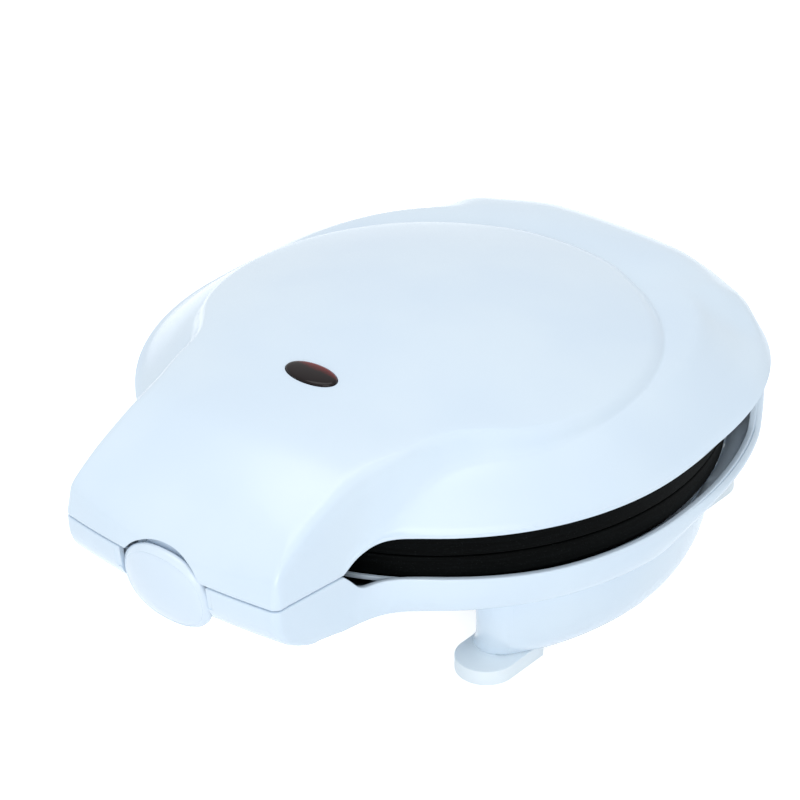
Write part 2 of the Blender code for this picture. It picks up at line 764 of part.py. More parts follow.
def loft(name, rings, cutter=False):
    """Skin a run of rings with the same number of points and close both ends."""
    bm = bmesh.new()
    rows = [[bm.verts.new(point) for point in ring] for ring in rings]
    count = len(rows[0])
    for lower, upper in zip(rows, rows[1:]):
        for i in range(count):
            j = (i + 1) % count
            bm.faces.new((lower[i], lower[j], upper[j], upper[i]))
    bm.faces.new(rows[0])
    bm.faces.new(rows[-1])
    bmesh.ops.recalc_face_normals(bm, faces=bm.faces)
    return from_bmesh(name, bm, cutter)


# the lid shell

def lid_rings():
    edge, widest, crease = edge_outline(), widest_outline(), crease_outline()
    rings = [flat_ring(edge, lid_edge_z)]
    rings.append([(x, y, lid_edge_z(*e) + LIP_HEIGHT) for (x, y), e in zip(widest, edge)])
    rings += [wall_ring(share, edge, widest, crease) for share in LID_WALL_SHARES]
    rings += [panel_ring(share, crease) for share in LID_PANEL_SHARES]
    return rings


def lid_inner_rings():
    """The hollow side of the lid, one wall in from the outside."""
    edge = inset(edge_outline(), SHELL_WALL)
    widest = inset(widest_outline(), SHELL_WALL)
    crease = inset(crease_outline(), SHELL_WALL)
    outer = edge_outline()
    rings = [[(x, y, lid_edge_z(*e)) for (x, y), e in zip(edge, outer)]]
    rings.append([(x, y, lid_edge_z(*e) + LIP_HEIGHT) for (x, y), e in zip(widest, outer)])
    for share in LID_INNER_WALL_SHARES:
        ring = wall_ring(share, outer, widest_outline(), crease_outline())
        moved = inset(np.array([(x, y) for x, y, z in ring]), SHELL_WALL)
        rings.append([(mx, my, z - SHELL_WALL * share) for (mx, my), (x, y, z) in zip(moved, ring)])
    for share in LID_INNER_PANEL_SHARES:
        rings.append([(x, y, z - SHELL_WALL) for x, y, z in panel_ring(share, crease)])
    return rings


def make_lid(lid):
    shell = loft("lid_shell", lid_inner_rings()[::-1] + lid_rings())
    cut(shell, notch_cutter())
    join(shell, make_drum(), *make_lid_posts(), *make_latch_ears())
    cut(shell, *hinge_cutters(), *lens_cutters(), latch_pin_cutter(), *lid_post_cutters())
    give_finish(shell, "#E2F0FB", 0.22)
    carry(smooth(shell), lid)


def make_lid_posts():
    """Posts from the lid's inside down to the back of the upper plate."""
    low = PLATE_PART_Z + FIT_GAP / 2 + PLATE_LAND + FIT_GAP
    posts = []
    for number, (x, y) in enumerate(screw_places()):
        outward = (SCREW_CIRCLE + POST_RADIUS) / SCREW_CIRCLE
        high = lid_top_z(x * outward, y * outward) - POST_SINK
        posts.append(rod(f"lid_post_{number}", (x, y, low), (x, y, high), POST_RADIUS, TINY_STEPS, True))
    return posts


def lid_post_cutters():
    low = PLATE_PART_Z
    depth = SCREW_LENGTH + FIT_GAP * 2
    reach = SCREW_RADIUS + RUN_GAP
    return [rod(f"lid_screw_hole_{n}", (x, y, low), (x, y, low + depth), reach, TINY_STEPS, True)
            for n, (x, y) in enumerate(screw_places())]


def screw_places():
    quarter = math.pi / 2
    return [(SCREW_CIRCLE * math.cos(quarter * n), SCREW_CIRCLE * math.sin(quarter * n)) for n in range(4)]


# the base shell

def base_outer_rings():
    edge, floor = edge_outline(), floor_outline()
    count = len(edge)
    rings = [flat_ring(edge, rim_z)]
    for share in FLANGE_SHARES:
        ring = []
        for index in range(count):
            top = rim_z(*edge[index])
            bottom = HANDLE_FLOOR_Z + (LEDGE_Z - HANDLE_FLOOR_Z) * sweep_share(edge[index][1])
            x, y = edge[index] + (floor[index] - edge[index]) * share ** FLANGE_BEND
            ring.append((x, y, top + (bottom - top) * share))
        rings.append(ring)
    rings.append(under_ring(edge, floor))
    for radius_share, height_share in BOWL_SHARES:
        height = BOWL_Z + (LEDGE_Z - BOWL_Z) * height_share
        rings.append([(x, y, height) for x, y in circle_like(edge, BOWL_UNIT * radius_share)])
    return rings


def under_ring(edge, floor):
    """The flat underside just inside the flange's lower edge."""
    ring = circle_like(edge, LEDGE_RADIUS)
    points = []
    for index, (x, y) in enumerate(ring):
        share = sweep_share(edge[index][1])
        reach = HANDLE_FLOOR_INNER_Y + (LEDGE_RADIUS - HANDLE_FLOOR_INNER_Y) * share
        scale = reach / LEDGE_RADIUS if y < 0 else 1.0
        height = HANDLE_FLOOR_Z + (LEDGE_Z - HANDLE_FLOOR_Z) * share
        points.append((x * scale, y * scale, height))
    return points


def base_inner_rings():
    edge, floor = edge_outline(), floor_outline()
    inner_edge, inner_floor = inset(edge, SHELL_WALL), inset(floor, SHELL_WALL)
    rings = [[(x, y, rim_z(*e)) for (x, y), e in zip(inner_edge, edge)]]
    low = []
    for (x, y), e in zip(inner_floor, edge):
        bottom = HANDLE_FLOOR_Z + (LEDGE_Z - HANDLE_FLOOR_Z) * sweep_share(e[1])
        low.append((x, y, bottom + SHELL_WALL))
    rings.append(low)
    for radius_share, height_share in BOWL_SHARES:
        height = BOWL_Z + (LEDGE_Z - BOWL_Z) * height_share + SHELL_WALL
        radius = BOWL_UNIT * radius_share - SHELL_WALL / 2
        rings.append([(x, y, height) for x, y in circle_like(edge, radius)])
    return rings


def make_base(root):
    shell = loft("base_shell", base_inner_rings()[::-1] + base_outer_rings())
    join(shell, *make_skirts(), *make_columns(), *make_base_posts(), *make_lugs(), make_latch_seat())
    cut(shell, *foot_cutters(), *base_post_cutters(), *lug_cutters(), gland_cutter(), *recess_cutters())
    give_finish(shell, "#E2F0FB", 0.22)
    carry(smooth(shell), root)


def make_skirts():
    """The two curved side walls that stand on the feet."""
    outer = [(BODY_RADIUS - set_in, height) for set_in, height in SKIRT_INSETS]
    inner = [(radius - SKIRT_WALL, height) for radius, height in reversed(outer)]
    skirts = []
    for side in (1, -1):
        bm = bmesh.new()
        face = bm.faces.new([bm.verts.new((radius, 0, height)) for radius, height in outer + inner])
        start = SKIRT_START if side > 0 else math.pi - SKIRT_END
        bmesh.ops.rotate(bm, cent=(0, 0, 0), matrix=Matrix.Rotation(start, 3, "Z"), verts=bm.verts)
        geometry = list(bm.verts) + list(bm.edges) + [face]
        bmesh.ops.spin(bm, geom=geometry, cent=(0, 0, 0), axis=(0, 0, 1),
                       angle=SKIRT_END - SKIRT_START, steps=SKIRT_STEPS, use_duplicate=False)
        bmesh.ops.recalc_face_normals(bm, faces=bm.faces)
        skirts.append(from_bmesh(f"skirt_{side}", bm, True))
    return skirts


def column_places():
    """Angle of each foot's column, and its side."""
    return [(angle, side) for angle in (SKIRT_START, SKIRT_END) for side in (1, -1)]


def make_columns():
    """Round columns at the ends of the side walls, leaning out as they rise."""
    columns = []
    for number, (angle, side) in enumerate(column_places()):
        low = (side * COLUMN_LOW_PLACE * math.cos(angle), COLUMN_LOW_PLACE * math.sin(angle),
               FOOT_HEIGHT / 2)
        high = (side * COLUMN_TOP_PLACE * math.cos(angle), COLUMN_TOP_PLACE * math.sin(angle),
                SKIRT_TOP_Z)
        columns.append(rod(f"column_{number}", low, high, COLUMN_RADIUS, FINE_STEPS, True))
    return columns


def foot_shape(side, rear, grow):
    """Outline of a foot: straight sides and one round end."""
    spigot_x, spigot_y = foot_spigot(1, rear)
    centre_x = spigot_x + (REAR_FOOT_ASIDE if rear else FOOT_ASIDE)
    radius = FOOT_WIDTH / 2 + grow
    if rear:
        flat_y, way = spigot_y - REAR_FOOT_AHEAD - grow, 1
        round_y = spigot_y + REAR_FOOT_BEHIND - FOOT_WIDTH / 2
    else:
        flat_y, way = spigot_y + FOOT_BEHIND + grow, -1
        round_y = spigot_y - FOOT_AHEAD + FOOT_WIDTH / 2
    points = [(centre_x + radius, flat_y)]
    for i in range(TINY_STEPS + 1):
        turn = math.pi * i / TINY_STEPS
        points.append((centre_x + radius * math.cos(turn), round_y + way * radius * math.sin(turn)))
    points.append((centre_x - radius, flat_y))
    return [(side * x, y) for x, y in points]


def foot_cutters():
    tools = []
    for rear in (False, True):
        for side in (1, -1):
            name = f"foot_space_{int(rear)}_{side}"
            tools.append(flat_outline(name, foot_shape(side, rear, FIT_GAP), -CUT_OVERRUN,
                                      FOOT_HEIGHT + FIT_GAP, True))
            x, y = foot_spigot(side, rear)
            reach = FOOT_SPIGOT_RADIUS + FIT_GAP
            top = FOOT_HEIGHT + FOOT_SPIGOT_HEIGHT + FIT_GAP
            tools.append(rod("spigot_" + name, (x, y, 0), (x, y, top), reach, TINY_STEPS, True))
    return tools


def foot_spigot(side, rear):
    angle = SKIRT_END if rear else SKIRT_START
    radius = COLUMN_LOW_PLACE
    return side * radius * math.cos(angle), radius * math.sin(angle)


def make_feet(root):
    for rear in (False, True):
        for side in (1, -1):
            where = ("rear" if rear else "front") + ("_right" if side > 0 else "_left")
            foot = flat_outline("foot_" + where, foot_shape(side, rear, 0), 0, FOOT_HEIGHT)
            x, y = foot_spigot(side, rear)
            spigot = rod("spigot_pin_" + where, (x, y, FOOT_HEIGHT / 2),
                         (x, y, FOOT_HEIGHT + FOOT_SPIGOT_HEIGHT), FOOT_SPIGOT_RADIUS, TINY_STEPS, True)
            join(foot, spigot)
            give_finish(foot, "#DCEBF6", 0.35)
            carry(smooth(foot), root)


def make_base_posts():
    high = PLATE_PART_Z - FIT_GAP / 2 - PLATE_LAND - FIT_GAP
    posts = []
    low = bowl_height(SCREW_CIRCLE + POST_RADIUS) + SHELL_WALL / 2
    for number, (x, y) in enumerate(screw_places()):
        posts.append(rod(f"base_post_{number}", (x, y, low), (x, y, high), POST_RADIUS, TINY_STEPS, True))
    return posts


def bowl_height(radius):
    """Outside height of the bowl at a radius."""
    table = sorted((share * BOWL_UNIT, BOWL_Z + (LEDGE_Z - BOWL_Z) * rise) for share, rise in BOWL_SHARES)
    return float(np.interp(radius, [row[0] for row in table], [row[1] for row in table]))


def base_post_cutters():
    high = PLATE_PART_Z
    depth = SCREW_LENGTH + FIT_GAP * 2
    reach = SCREW_RADIUS + RUN_GAP
    return [rod(f"base_screw_hole_{n}", (x, y, high - depth), (x, y, high), reach, TINY_STEPS, True)
            for n, (x, y) in enumerate(screw_places())]


# plates, their screws, heaters and shields

def make_plate(name, up, anchor, skirt_z):
    """A cast plate; up is 1 for the upper plate and -1 for the lower one."""
    face = PLATE_PART_Z + up * FIT_GAP / 2
    back = face + up * PLATE_LAND
    inner = PLATE_RADIUS - SKIRT_INSET
    low_wall = inner - PLATE_SKIRT_WALL
    step = face + up * (RIM_STEP if up < 0 else PLATE_LAND)
    profile = [(0.0, face), (PLATE_RADIUS - PLATE_LIP, face), (PLATE_RADIUS, face + up * PLATE_LIP)]
    if up < 0:
        profile += [(PLATE_RADIUS, step), (inner, step - SKIRT_INSET), (inner, skirt_z)]
    else:
        profile += [(PLATE_RADIUS, skirt_z)]
        low_wall = PLATE_RADIUS - PLATE_SKIRT_WALL
    profile += [(low_wall, skirt_z), (low_wall, back + up * PLATE_LIP), (low_wall - PLATE_LIP, back),
                (0.0, back)]
    plate = turned(name, profile if up < 0 else profile[::-1], PLATE_STEPS)
    block_back = face + up * (POCKET_DEPTH + POCKET_FLOOR)
    half = SQUARE_SIDE / 2 + BLOCK_WALL
    low, high = sorted((back - up * PLATE_LAND / 2, block_back))
    block = box_between(name + "_block", (-half, -half, low), (half, half, high), True)
    rounding = block.modifiers.new("round", "BEVEL")
    rounding.width = BLOCK_ROUND
    rounding.segments = 4
    rounding.limit_method = "WEIGHT"
    mark_upright_edges(block)
    join(plate, block)
    cut(plate, *pocket_cutters(name, face, up), *drip_cutters(name, face, up))
    cut(plate, *screw_cutters(name, face, up))
    give_finish(plate, "#1B1C1D", 0.45, 0.0)
    return carry(smooth(plate), anchor)


def mark_upright_edges(piece):
    weights = piece.data.attributes.new("bevel_weight_edge", "FLOAT", "EDGE")
    for index, edge in enumerate(piece.data.edges):
        first, second = (piece.data.vertices[v].co for v in edge.vertices)
        upright = math.hypot(first.x - second.x, first.y - second.y) < SAME_PLACE
        weights.data[index].value = 1.0 if upright else 0.0


def pocket_corners(draft):
    """Corners of one three-sided pocket: its apex near the middle, its long side outwards."""
    near = RIDGE_WIDTH + draft * POCKET_APEX_SHARE
    far = SQUARE_SIDE / 2 - draft
    half_long = SQUARE_SIDE / 2 - RIDGE_WIDTH - draft * POCKET_END_SHARE
    return [(near, 0.0), (far, half_long), (far, -half_long)]


def pocket_cutters(name, face, up):
    """Four three-sided hollows, each with its long side along an edge of the square."""
    tools = []
    for quarter in range(4):
        turn = Matrix.Rotation(math.pi / 2 * quarter, 3, "Z")
        bm = bmesh.new()
        mouth = [bm.verts.new(turn @ Vector((x, y, face - up * CUT_OVERRUN)))
                 for x, y in pocket_corners(-POCKET_DRAFT * CUT_OVERRUN / POCKET_DEPTH)]
        face_loop = bm.faces.new(mouth)
        raised = bmesh.ops.extrude_face_region(bm, geom=[face_loop])
        floor = [item for item in raised["geom"] if isinstance(item, bmesh.types.BMVert)]
        for vert in floor:
            middle = min(mouth, key=lambda m: (m.co - vert.co).length)
            x, y = pocket_corners(POCKET_DRAFT)[mouth.index(middle)]
            vert.co = turn @ Vector((x, y, face + up * POCKET_DEPTH))
        bmesh.ops.recalc_face_normals(bm, faces=bm.faces)
        tool = from_bmesh(f"{name}_pocket_{quarter}", bm, True)
        rounding = tool.modifiers.new("round", "BEVEL")
        rounding.width = POCKET_ROUND
        rounding.segments = 2
        rounding.limit_method = "NONE"
        tools.append(tool)
    return tools


def drip_cutters(name, face, up):
    """A shallow groove round the square that catches what runs out."""
    outer = SQUARE_SIDE / 2 + DRIP_OFFSET
    inner = outer - DRIP_WIDTH
    low, high = sorted((face - up * CUT_OVERRUN, face + up * DRIP_DEPTH))
    ring = box_between(name + "_drip", (-outer, -outer, low), (outer, outer, high), True)
    core = box_between(name + "_drip_core", (-inner, -inner, low - CUT_OVERRUN),
                       (inner, inner, high + CUT_OVERRUN), True)
    cut(ring, core)
    return [ring]


def screw_cutters(name, face, up):
    """Stepped holes that let the screw heads lie below the plate's face."""
    tools = []
    for n, (x, y) in enumerate(screw_places()):
        reach = SCREW_RADIUS + RUN_GAP
        tools.append(rod(f"{name}_hole_{n}", (x, y, face - up * CUT_OVERRUN),
                         (x, y, face + up * (PLATE_LAND + CUT_OVERRUN)), reach, TINY_STEPS, True))
        tools.append(rod(f"{name}_sink_{n}", (x, y, face - up * CUT_OVERRUN),
                         (x, y, face + up * (SCREW_HEAD_HEIGHT + FIT_GAP)),
                         SCREW_HEAD_RADIUS + RUN_GAP, SMALL_STEPS, True))
    return tools


def make_screws(name, up, anchor):
    face = PLATE_PART_Z + up * FIT_GAP / 2
    for n, (x, y) in enumerate(screw_places()):
        screw = rod(f"{name}_{n + 1}", (x, y, face), (x, y, face + up * SCREW_HEAD_HEIGHT),
                    SCREW_HEAD_RADIUS, SMALL_STEPS)
        shank = rod(f"{name}_shank_{n}", (x, y, face + up * SCREW_HEAD_HEIGHT / 2),
                    (x, y, face + up * SCREW_LENGTH), SCREW_RADIUS, TINY_STEPS, True)
        join(screw, shank)
        for turn in (0, 1):
            along, across = (DRIVE_LENGTH / 2, DRIVE_WIDTH / 2)[::1 if turn else -1]
            low, high = sorted((face - up * CUT_OVERRUN, face + up * DRIVE_DEPTH))
            cut(screw, box_between(f"{name}_drive_{n}_{turn}", (x - along, y - across, low),
                                   (x + along, y + across, high), True))
        give_finish(screw, "#8E9296", 0.35, 1.0)
        carry(smooth(screw), anchor)


def plate_back(up):
    return PLATE_PART_Z + up * (FIT_GAP / 2 + POCKET_DEPTH + POCKET_FLOOR)


def element_height(up):
    return plate_back(up) + up * (FIT_GAP + ELEMENT_RADIUS)


def make_element(name, up, anchor):
    """A sheathed tube heater bent to an open ring, its two ends turned outwards."""
    height = element_height(up)
    start = math.pi / 2 + ELEMENT_GAP_ANGLE / 2
    sweep = 2 * math.pi - ELEMENT_GAP_ANGLE
    points = []
    for i in range(ELEMENT_POINTS + 1):
        angle = start + sweep * i / ELEMENT_POINTS
        points.append((ELEMENT_RING * math.cos(angle), ELEMENT_RING * math.sin(angle), height))
    bend = ELEMENT_RADIUS
    for end, other in ((0, 1), (-1, -2)):
        x, y, z = points[end]
        side = -1 if x < 0 else 1
        tail = [(x + side * -bend / 2, y + bend, z), (x + side * -bend / 2, y + ELEMENT_TAIL, z)]
        points = tail[::-1] + points if end == 0 else points + tail
    piece = tube(name, points, ELEMENT_RADIUS)
    give_finish(piece, "#5E5F61", 0.4, 1.0)
    carry(piece, anchor)


def make_clamps(name, up, anchor):
    """Two sheet straps that hold the ring against the plate's back."""
    back = plate_back(up)
    seat = element_height(up) + up * (ELEMENT_RADIUS + FIT_GAP)
    for side, word in ((1, "right"), (-1, "left")):
        low, high = sorted((back + up * FIT_GAP, seat + up * CLAMP_WALL))
        x = side * ELEMENT_RING
        strap = box_between(f"{name}_{word}", (x - CLAMP_REACH, -CLAMP_WIDTH / 2, low),
                            (x + CLAMP_REACH, CLAMP_WIDTH / 2, high))
        inner = CLAMP_REACH - CLAMP_WALL
        low, high = sorted((back, seat))
        space = box_between(f"{name}_space_{word}", (x - inner, -CLAMP_WIDTH, low),
                            (x + inner, CLAMP_WIDTH, high), True)
        cut(strap, space)
        give_finish(strap, "#A9ACAF", 0.35, 1.0)
        carry(strap, anchor)


def make_shield(name, up, anchor):
    """A thin pressed dish that keeps the heat off the moulded shell."""
    seat = element_height(up) + up * (ELEMENT_RADIUS + CLAMP_WALL + 2 * FIT_GAP)
    far = seat + up * SHIELD_WALL
    rim = seat - up * SHIELD_RISE
    outer = SHIELD_RADIUS
    profile = [(outer, rim), (outer, far), (SHIELD_HOLE, far), (SHIELD_HOLE, seat),
               (outer - SHIELD_WALL, seat), (outer - SHIELD_WALL, rim)]
    shield = turned(name, profile if up < 0 else profile[::-1], PLATE_STEPS)
    low, high = sorted((rim - up * CUT_OVERRUN, far + up * CUT_OVERRUN))
    cut(shield, box_between(name + "_slot", (-LEAD_SLOT_HALF, LEAD_SLOT_Y, low),
                            (LEAD_SLOT_HALF, SHIELD_RADIUS + CUT_OVERRUN, high), True))
    give_finish(shield, "#B9BCBF", 0.3, 1.0)
    carry(smooth(shield), anchor)


# thermostat, fuse, terminal block, gland and leads in the base

def make_thermostat(root):
    top = plate_back(-1) - FIT_GAP
    low = top - THERMOSTAT_HEIGHT
    body = rod("thermostat", (0, 0, low), (0, 0, top), THERMOSTAT_RADIUS, FINE_STEPS)
    for side in (1, -1):
        x = side * THERMOSTAT_RADIUS / 2
        join(body, box_between(f"thermostat_tab_{side}", (x - TAB_THICK / 2, -THERMOSTAT_TAB / 2,
                                                          low - THERMOSTAT_TAB),
                               (x + TAB_THICK / 2, THERMOSTAT_TAB / 2, low + SINK), True))
    give_finish(body, "#3A3330", 0.4)
    carry(smooth(body), root)


def make_fuse(root):
    height = plate_back(-1) - FIT_GAP - FUSE_RADIUS
    fuse = rod("thermal_fuse", (-FUSE_LENGTH / 2, FUSE_Y, height), (FUSE_LENGTH / 2, FUSE_Y, height),
               FUSE_RADIUS, TINY_STEPS)
    give_finish(fuse, "#D8D3C4", 0.5)
    carry(smooth(fuse), root)


def make_terminal_block(root):
    width, depth, height = BLOCK_SIZE
    floor = BOWL_Z + SHELL_WALL + FIT_GAP
    block = box_between("terminal_block", (-width / 2, BLOCK_Y - depth / 2, floor),
                        (width / 2, BLOCK_Y + depth / 2, floor + height))
    for n in (-1, 0, 1):
        x = n * width / 3
        cut(block, rod(f"terminal_bore_{n}", (x, BLOCK_Y - depth, floor + height / 2),
                       (x, BLOCK_Y + depth, floor + height / 2), LEAD_RADIUS + FIT_GAP * 2,
                       TINY_STEPS, True))
    give_finish(block, "#EDE9DC", 0.4)
    carry(block, root)


def rear_wall_y(height):
    """Outside of the base's rear wall in the middle, at a height."""
    top_y = REAR_REACH * REAR_TUCK_SHARE
    share = (height - LEDGE_Z) / (HINGE_GAP_Z - LEDGE_Z)
    return top_y - FLANGE_TAPER * (1 - share) ** FLANGE_BEND


def gland_cutter():
    reach = GLAND_BODY_RADIUS + FIT_GAP
    start = (0, HINGE_Y - GLAND_INNER * 2, GLAND_Z)
    end = (0, REAR_REACH + CUT_OVERRUN, GLAND_Z)
    return rod("gland_hole", start, end, reach, SMALL_STEPS, True)


def make_gland(root):
    """The bush that lines the lead's hole in the rear wall."""
    outside = rear_wall_y(GLAND_Z + GLAND_FLANGE_RADIUS) + FIT_GAP
    gland = rod("cord_gland", (0, outside, GLAND_Z), (0, outside + GLAND_FLANGE, GLAND_Z),
                GLAND_FLANGE_RADIUS, FINE_STEPS)
    inside = outside - SHELL_WALL - GLAND_INNER
    join(gland, rod("gland_body", (0, inside, GLAND_Z), (0, outside + GLAND_FLANGE / 2, GLAND_Z),
                    GLAND_BODY_RADIUS, SMALL_STEPS, True))
    cut(gland, rod("gland_bore", (0, inside - CUT_OVERRUN, GLAND_Z),
                   (0, outside + GLAND_FLANGE + CUT_OVERRUN, GLAND_Z), GLAND_BORE, SMALL_STEPS, True))
    give_finish(gland, "#D7E4EE", 0.4)
    carry(smooth(gland), root)


def make_base_leads(root):
    """Leads between the terminal block, thermostat, fuse and lower heater."""
    width, depth, height = BLOCK_SIZE
    port = BOWL_Z + SHELL_WALL + FIT_GAP + height / 2
    tab_low = plate_back(-1) - FIT_GAP - THERMOSTAT_HEIGHT - THERMOSTAT_TAB
    near = BLOCK_Y - depth / 2 - FIT_GAP
    heater = element_height(-1)
    tail_x = ELEMENT_RING * math.sin(ELEMENT_GAP_ANGLE / 2)
    tail_y = ELEMENT_RING + ELEMENT_TAIL
    fuse_z = plate_back(-1) - FIT_GAP - FUSE_RADIUS
    tab_x = THERMOSTAT_RADIUS / 2
    gap = LEAD_RADIUS + FIT_GAP
    under = tab_low - gap
    middle = (heater + fuse_z) / 2 - gap
    runs = {
        "lead_block_to_thermostat": [
            (width / 3, near, port), (width / 3, near - depth / 2, port),
            (tab_x, depth / 2, under - gap), (tab_x, 0, under)],
        "lead_thermostat_to_fuse": [
            (-tab_x, 0, under), (-tab_x * 2, FUSE_Y / 2, under),
            (-FUSE_LENGTH / 2 - gap, FUSE_Y, (fuse_z + under) / 2),
            (-FUSE_LENGTH / 2 - gap, FUSE_Y, fuse_z - gap)],
        "lead_fuse_to_element": [
            (FUSE_LENGTH / 2 + gap, FUSE_Y, fuse_z), (FUSE_LENGTH, FUSE_Y / 2, middle),
            (FUSE_LENGTH, ELEMENT_RING / 2, middle), (tail_x / 4, ELEMENT_RING - ELEMENT_RADIUS, middle),
            (tail_x / 4, tail_y, heater), (tail_x, tail_y + ELEMENT_RADIUS, heater)],
    }
    for name, points in runs.items():
        lead = tube(name, smooth_run(points, LEAD_POINTS), LEAD_RADIUS)
        give_finish(lead, "#E8E4DA", 0.6)
        carry(lead, root)


# hinge

def make_drum():
    """The lid's round knuckle along the hinge axis."""
    return rod("hinge_drum", (-DRUM_HALF, HINGE_Y, HINGE_Z), (DRUM_HALF, HINGE_Y, HINGE_Z),
               DRUM_RADIUS, FINE_STEPS, True)


def hinge_cutters():
    """Room in the lid for the leads, the lugs and the pins."""
    tools = [box_between("lead_chamber", (-CHAMBER_HALF, HINGE_Y - DRUM_RADIUS - CUT_OVERRUN,
                                          HINGE_Z - DRUM_RADIUS - CUT_OVERRUN),
                         (CHAMBER_HALF, HINGE_Y + CHAMBER_REAR, HINGE_Z + CHAMBER_TOP), True)]
    reach = LUG_RADIUS + LUG_GAP * 2
    for side in (1, -1):
        near, far = sorted((side * DRUM_HALF, side * (DRUM_HALF + LUG_THICK + 2 * LUG_GAP)))
        tools.append(box_between(f"lug_slot_{side}", (near, HINGE_Y - reach, HINGE_Z - reach),
                                 (far, REAR_REACH + CUT_OVERRUN, HINGE_Z + reach), True))
        tools.append(pin_space(f"lid_pin_bore_{side}", side))
    return tools


def pin_space(name, side):
    start = side * (DRUM_HALF - PIN_REACH_IN - RUN_GAP)
    end = side * (DRUM_HALF + LUG_THICK + 4 * LUG_GAP)
    return rod(name, (start, HINGE_Y, HINGE_Z), (end, HINGE_Y, HINGE_Z), PIN_RADIUS + RUN_GAP,
               SMALL_STEPS, True)


def make_lugs():
    """Two ears of the base that carry the hinge pins."""
    lugs = []
    for side in (1, -1):
        near, far = sorted((side * (DRUM_HALF + LUG_GAP), side * (DRUM_HALF + LUG_GAP + LUG_THICK)))
        lugs.append(rod(f"lug_{side}", (near, HINGE_Y, HINGE_Z), (far, HINGE_Y, HINGE_Z), LUG_RADIUS,
                        FINE_STEPS, True))
        lugs.append(box_between(f"lug_stem_{side}", (near + SINK, HINGE_Y - LUG_STEM_FRONT, LUG_FOOT_Z),
                                (far - SINK, HINGE_Y + LUG_STEM_REAR, HINGE_Z - SINK), True))
    return lugs


def lug_cutters():
    return [pin_space(f"lug_pin_bore_{side}", side) for side in (1, -1)]


def make_pins(root):
    for side, word in ((1, "right"), (-1, "left")):
        start = side * (DRUM_HALF - PIN_REACH_IN)
        end = side * (DRUM_HALF + LUG_GAP + LUG_THICK)
        pin = rod("hinge_pin_" + word, (start, HINGE_Y, HINGE_Z), (end, HINGE_Y, HINGE_Z), PIN_RADIUS,
                  SMALL_STEPS)
        give_finish(pin, "#9A9DA0", 0.3, 1.0)
        carry(smooth(pin), root)


def make_sleeves(root, lid):
    """Sleeved leads that cross the hinge along its axis, one end on each side."""
    gap = FIT_GAP / 2
    drop = DRUM_RADIUS + SLEEVE_RADIUS
    skirt_y = HINGE_Y - drop
    width, depth, height = BLOCK_SIZE
    port = BOWL_Z + SHELL_WALL + FIT_GAP + height / 2
    x = SLEEVE_X
    r = SLEEVE_RADIUS
    low = LOWER_SKIRT_Z - 2 * r
    base_run = [(-gap, HINGE_Y, HINGE_Z), (-x * SLEEVE_TURN_SHARE, HINGE_Y, HINGE_Z),
                (-x, HINGE_Y - r, HINGE_Z),
                (-x, skirt_y + r, HINGE_Z - r), (-x, skirt_y + r / 2, PLATE_PART_Z),
                (-x, skirt_y, LOWER_SKIRT_Z), (-x, skirt_y - 4 * r, low),
                (-x, SHIELD_RADIUS, (low + port) / 2 + 2 * r), (-x / 2, BLOCK_Y + depth, port + 2 * r),
                (-width / 3, BLOCK_Y + depth / 2 + r, port)]
    high = UPPER_SKIRT_Z + 4 * r
    top = element_height(1)
    lid_run = [(gap, HINGE_Y, HINGE_Z), (x * SLEEVE_TURN_SHARE, HINGE_Y, HINGE_Z),
               (x, HINGE_Y - r, HINGE_Z + r / 4), (x, skirt_y + r, HINGE_Z + r / 2),
               (x, skirt_y - r, high), (x, SCREW_CIRCLE, top + r), (x, SHIELD_RADIUS - 2 * r, top),
               (x * SLEEVE_END_SHARE, ELEMENT_RING + ELEMENT_TAIL + 4 * r, top)]
    for name, run, anchor in (("base_sleeve", base_run, root), ("lid_sleeve", lid_run, lid)):
        sleeve = tube(name, smooth_run(run, SLEEVE_POINTS), SLEEVE_RADIUS)
        give_finish(sleeve, "#E9E4D6", 0.7)
        carry(sleeve, anchor)


# latch

def latch_half_height():
    return (LATCH_TOP_Z - LATCH_BOTTOM_Z) / 2 / math.cos(LATCH_LEAN)


def latch_plate():
    """The domed oval plate, leaning with the handle's front, centred on the origin."""
    bm = bmesh.new()
    bmesh.ops.create_uvsphere(bm, u_segments=FINE_STEPS, v_segments=TINY_STEPS, radius=1)
    half_z = latch_half_height()
    for vert in bm.verts:
        depth = LATCH_DOME if vert.co.z > 0 else LATCH_THICK
        x, y, z = vert.co
        rim = math.hypot(x, y)
        spread = rim ** LATCH_FULLNESS / rim if rim > SINK else 0
        vert.co = (x * spread * LATCH_HALF_WIDTH, -z * depth, y * spread * half_z)
    bmesh.ops.rotate(bm, cent=(0, 0, 0), matrix=Matrix.Rotation(LATCH_LEAN, 3, "X"), verts=bm.verts)
    bmesh.ops.recalc_face_normals(bm, faces=bm.faces)
    return bm


def latch_centre():
    """Middle of the latch, placed so that its dome just reaches the front of the outline."""
    bm = latch_plate()
    front = min(vert.co.y for vert in bm.verts)
    bm.free()
    return Vector((0, -HANDLE_REACH - LATCH_PROUD - front, (LATCH_TOP_Z + LATCH_BOTTOM_Z) / 2))


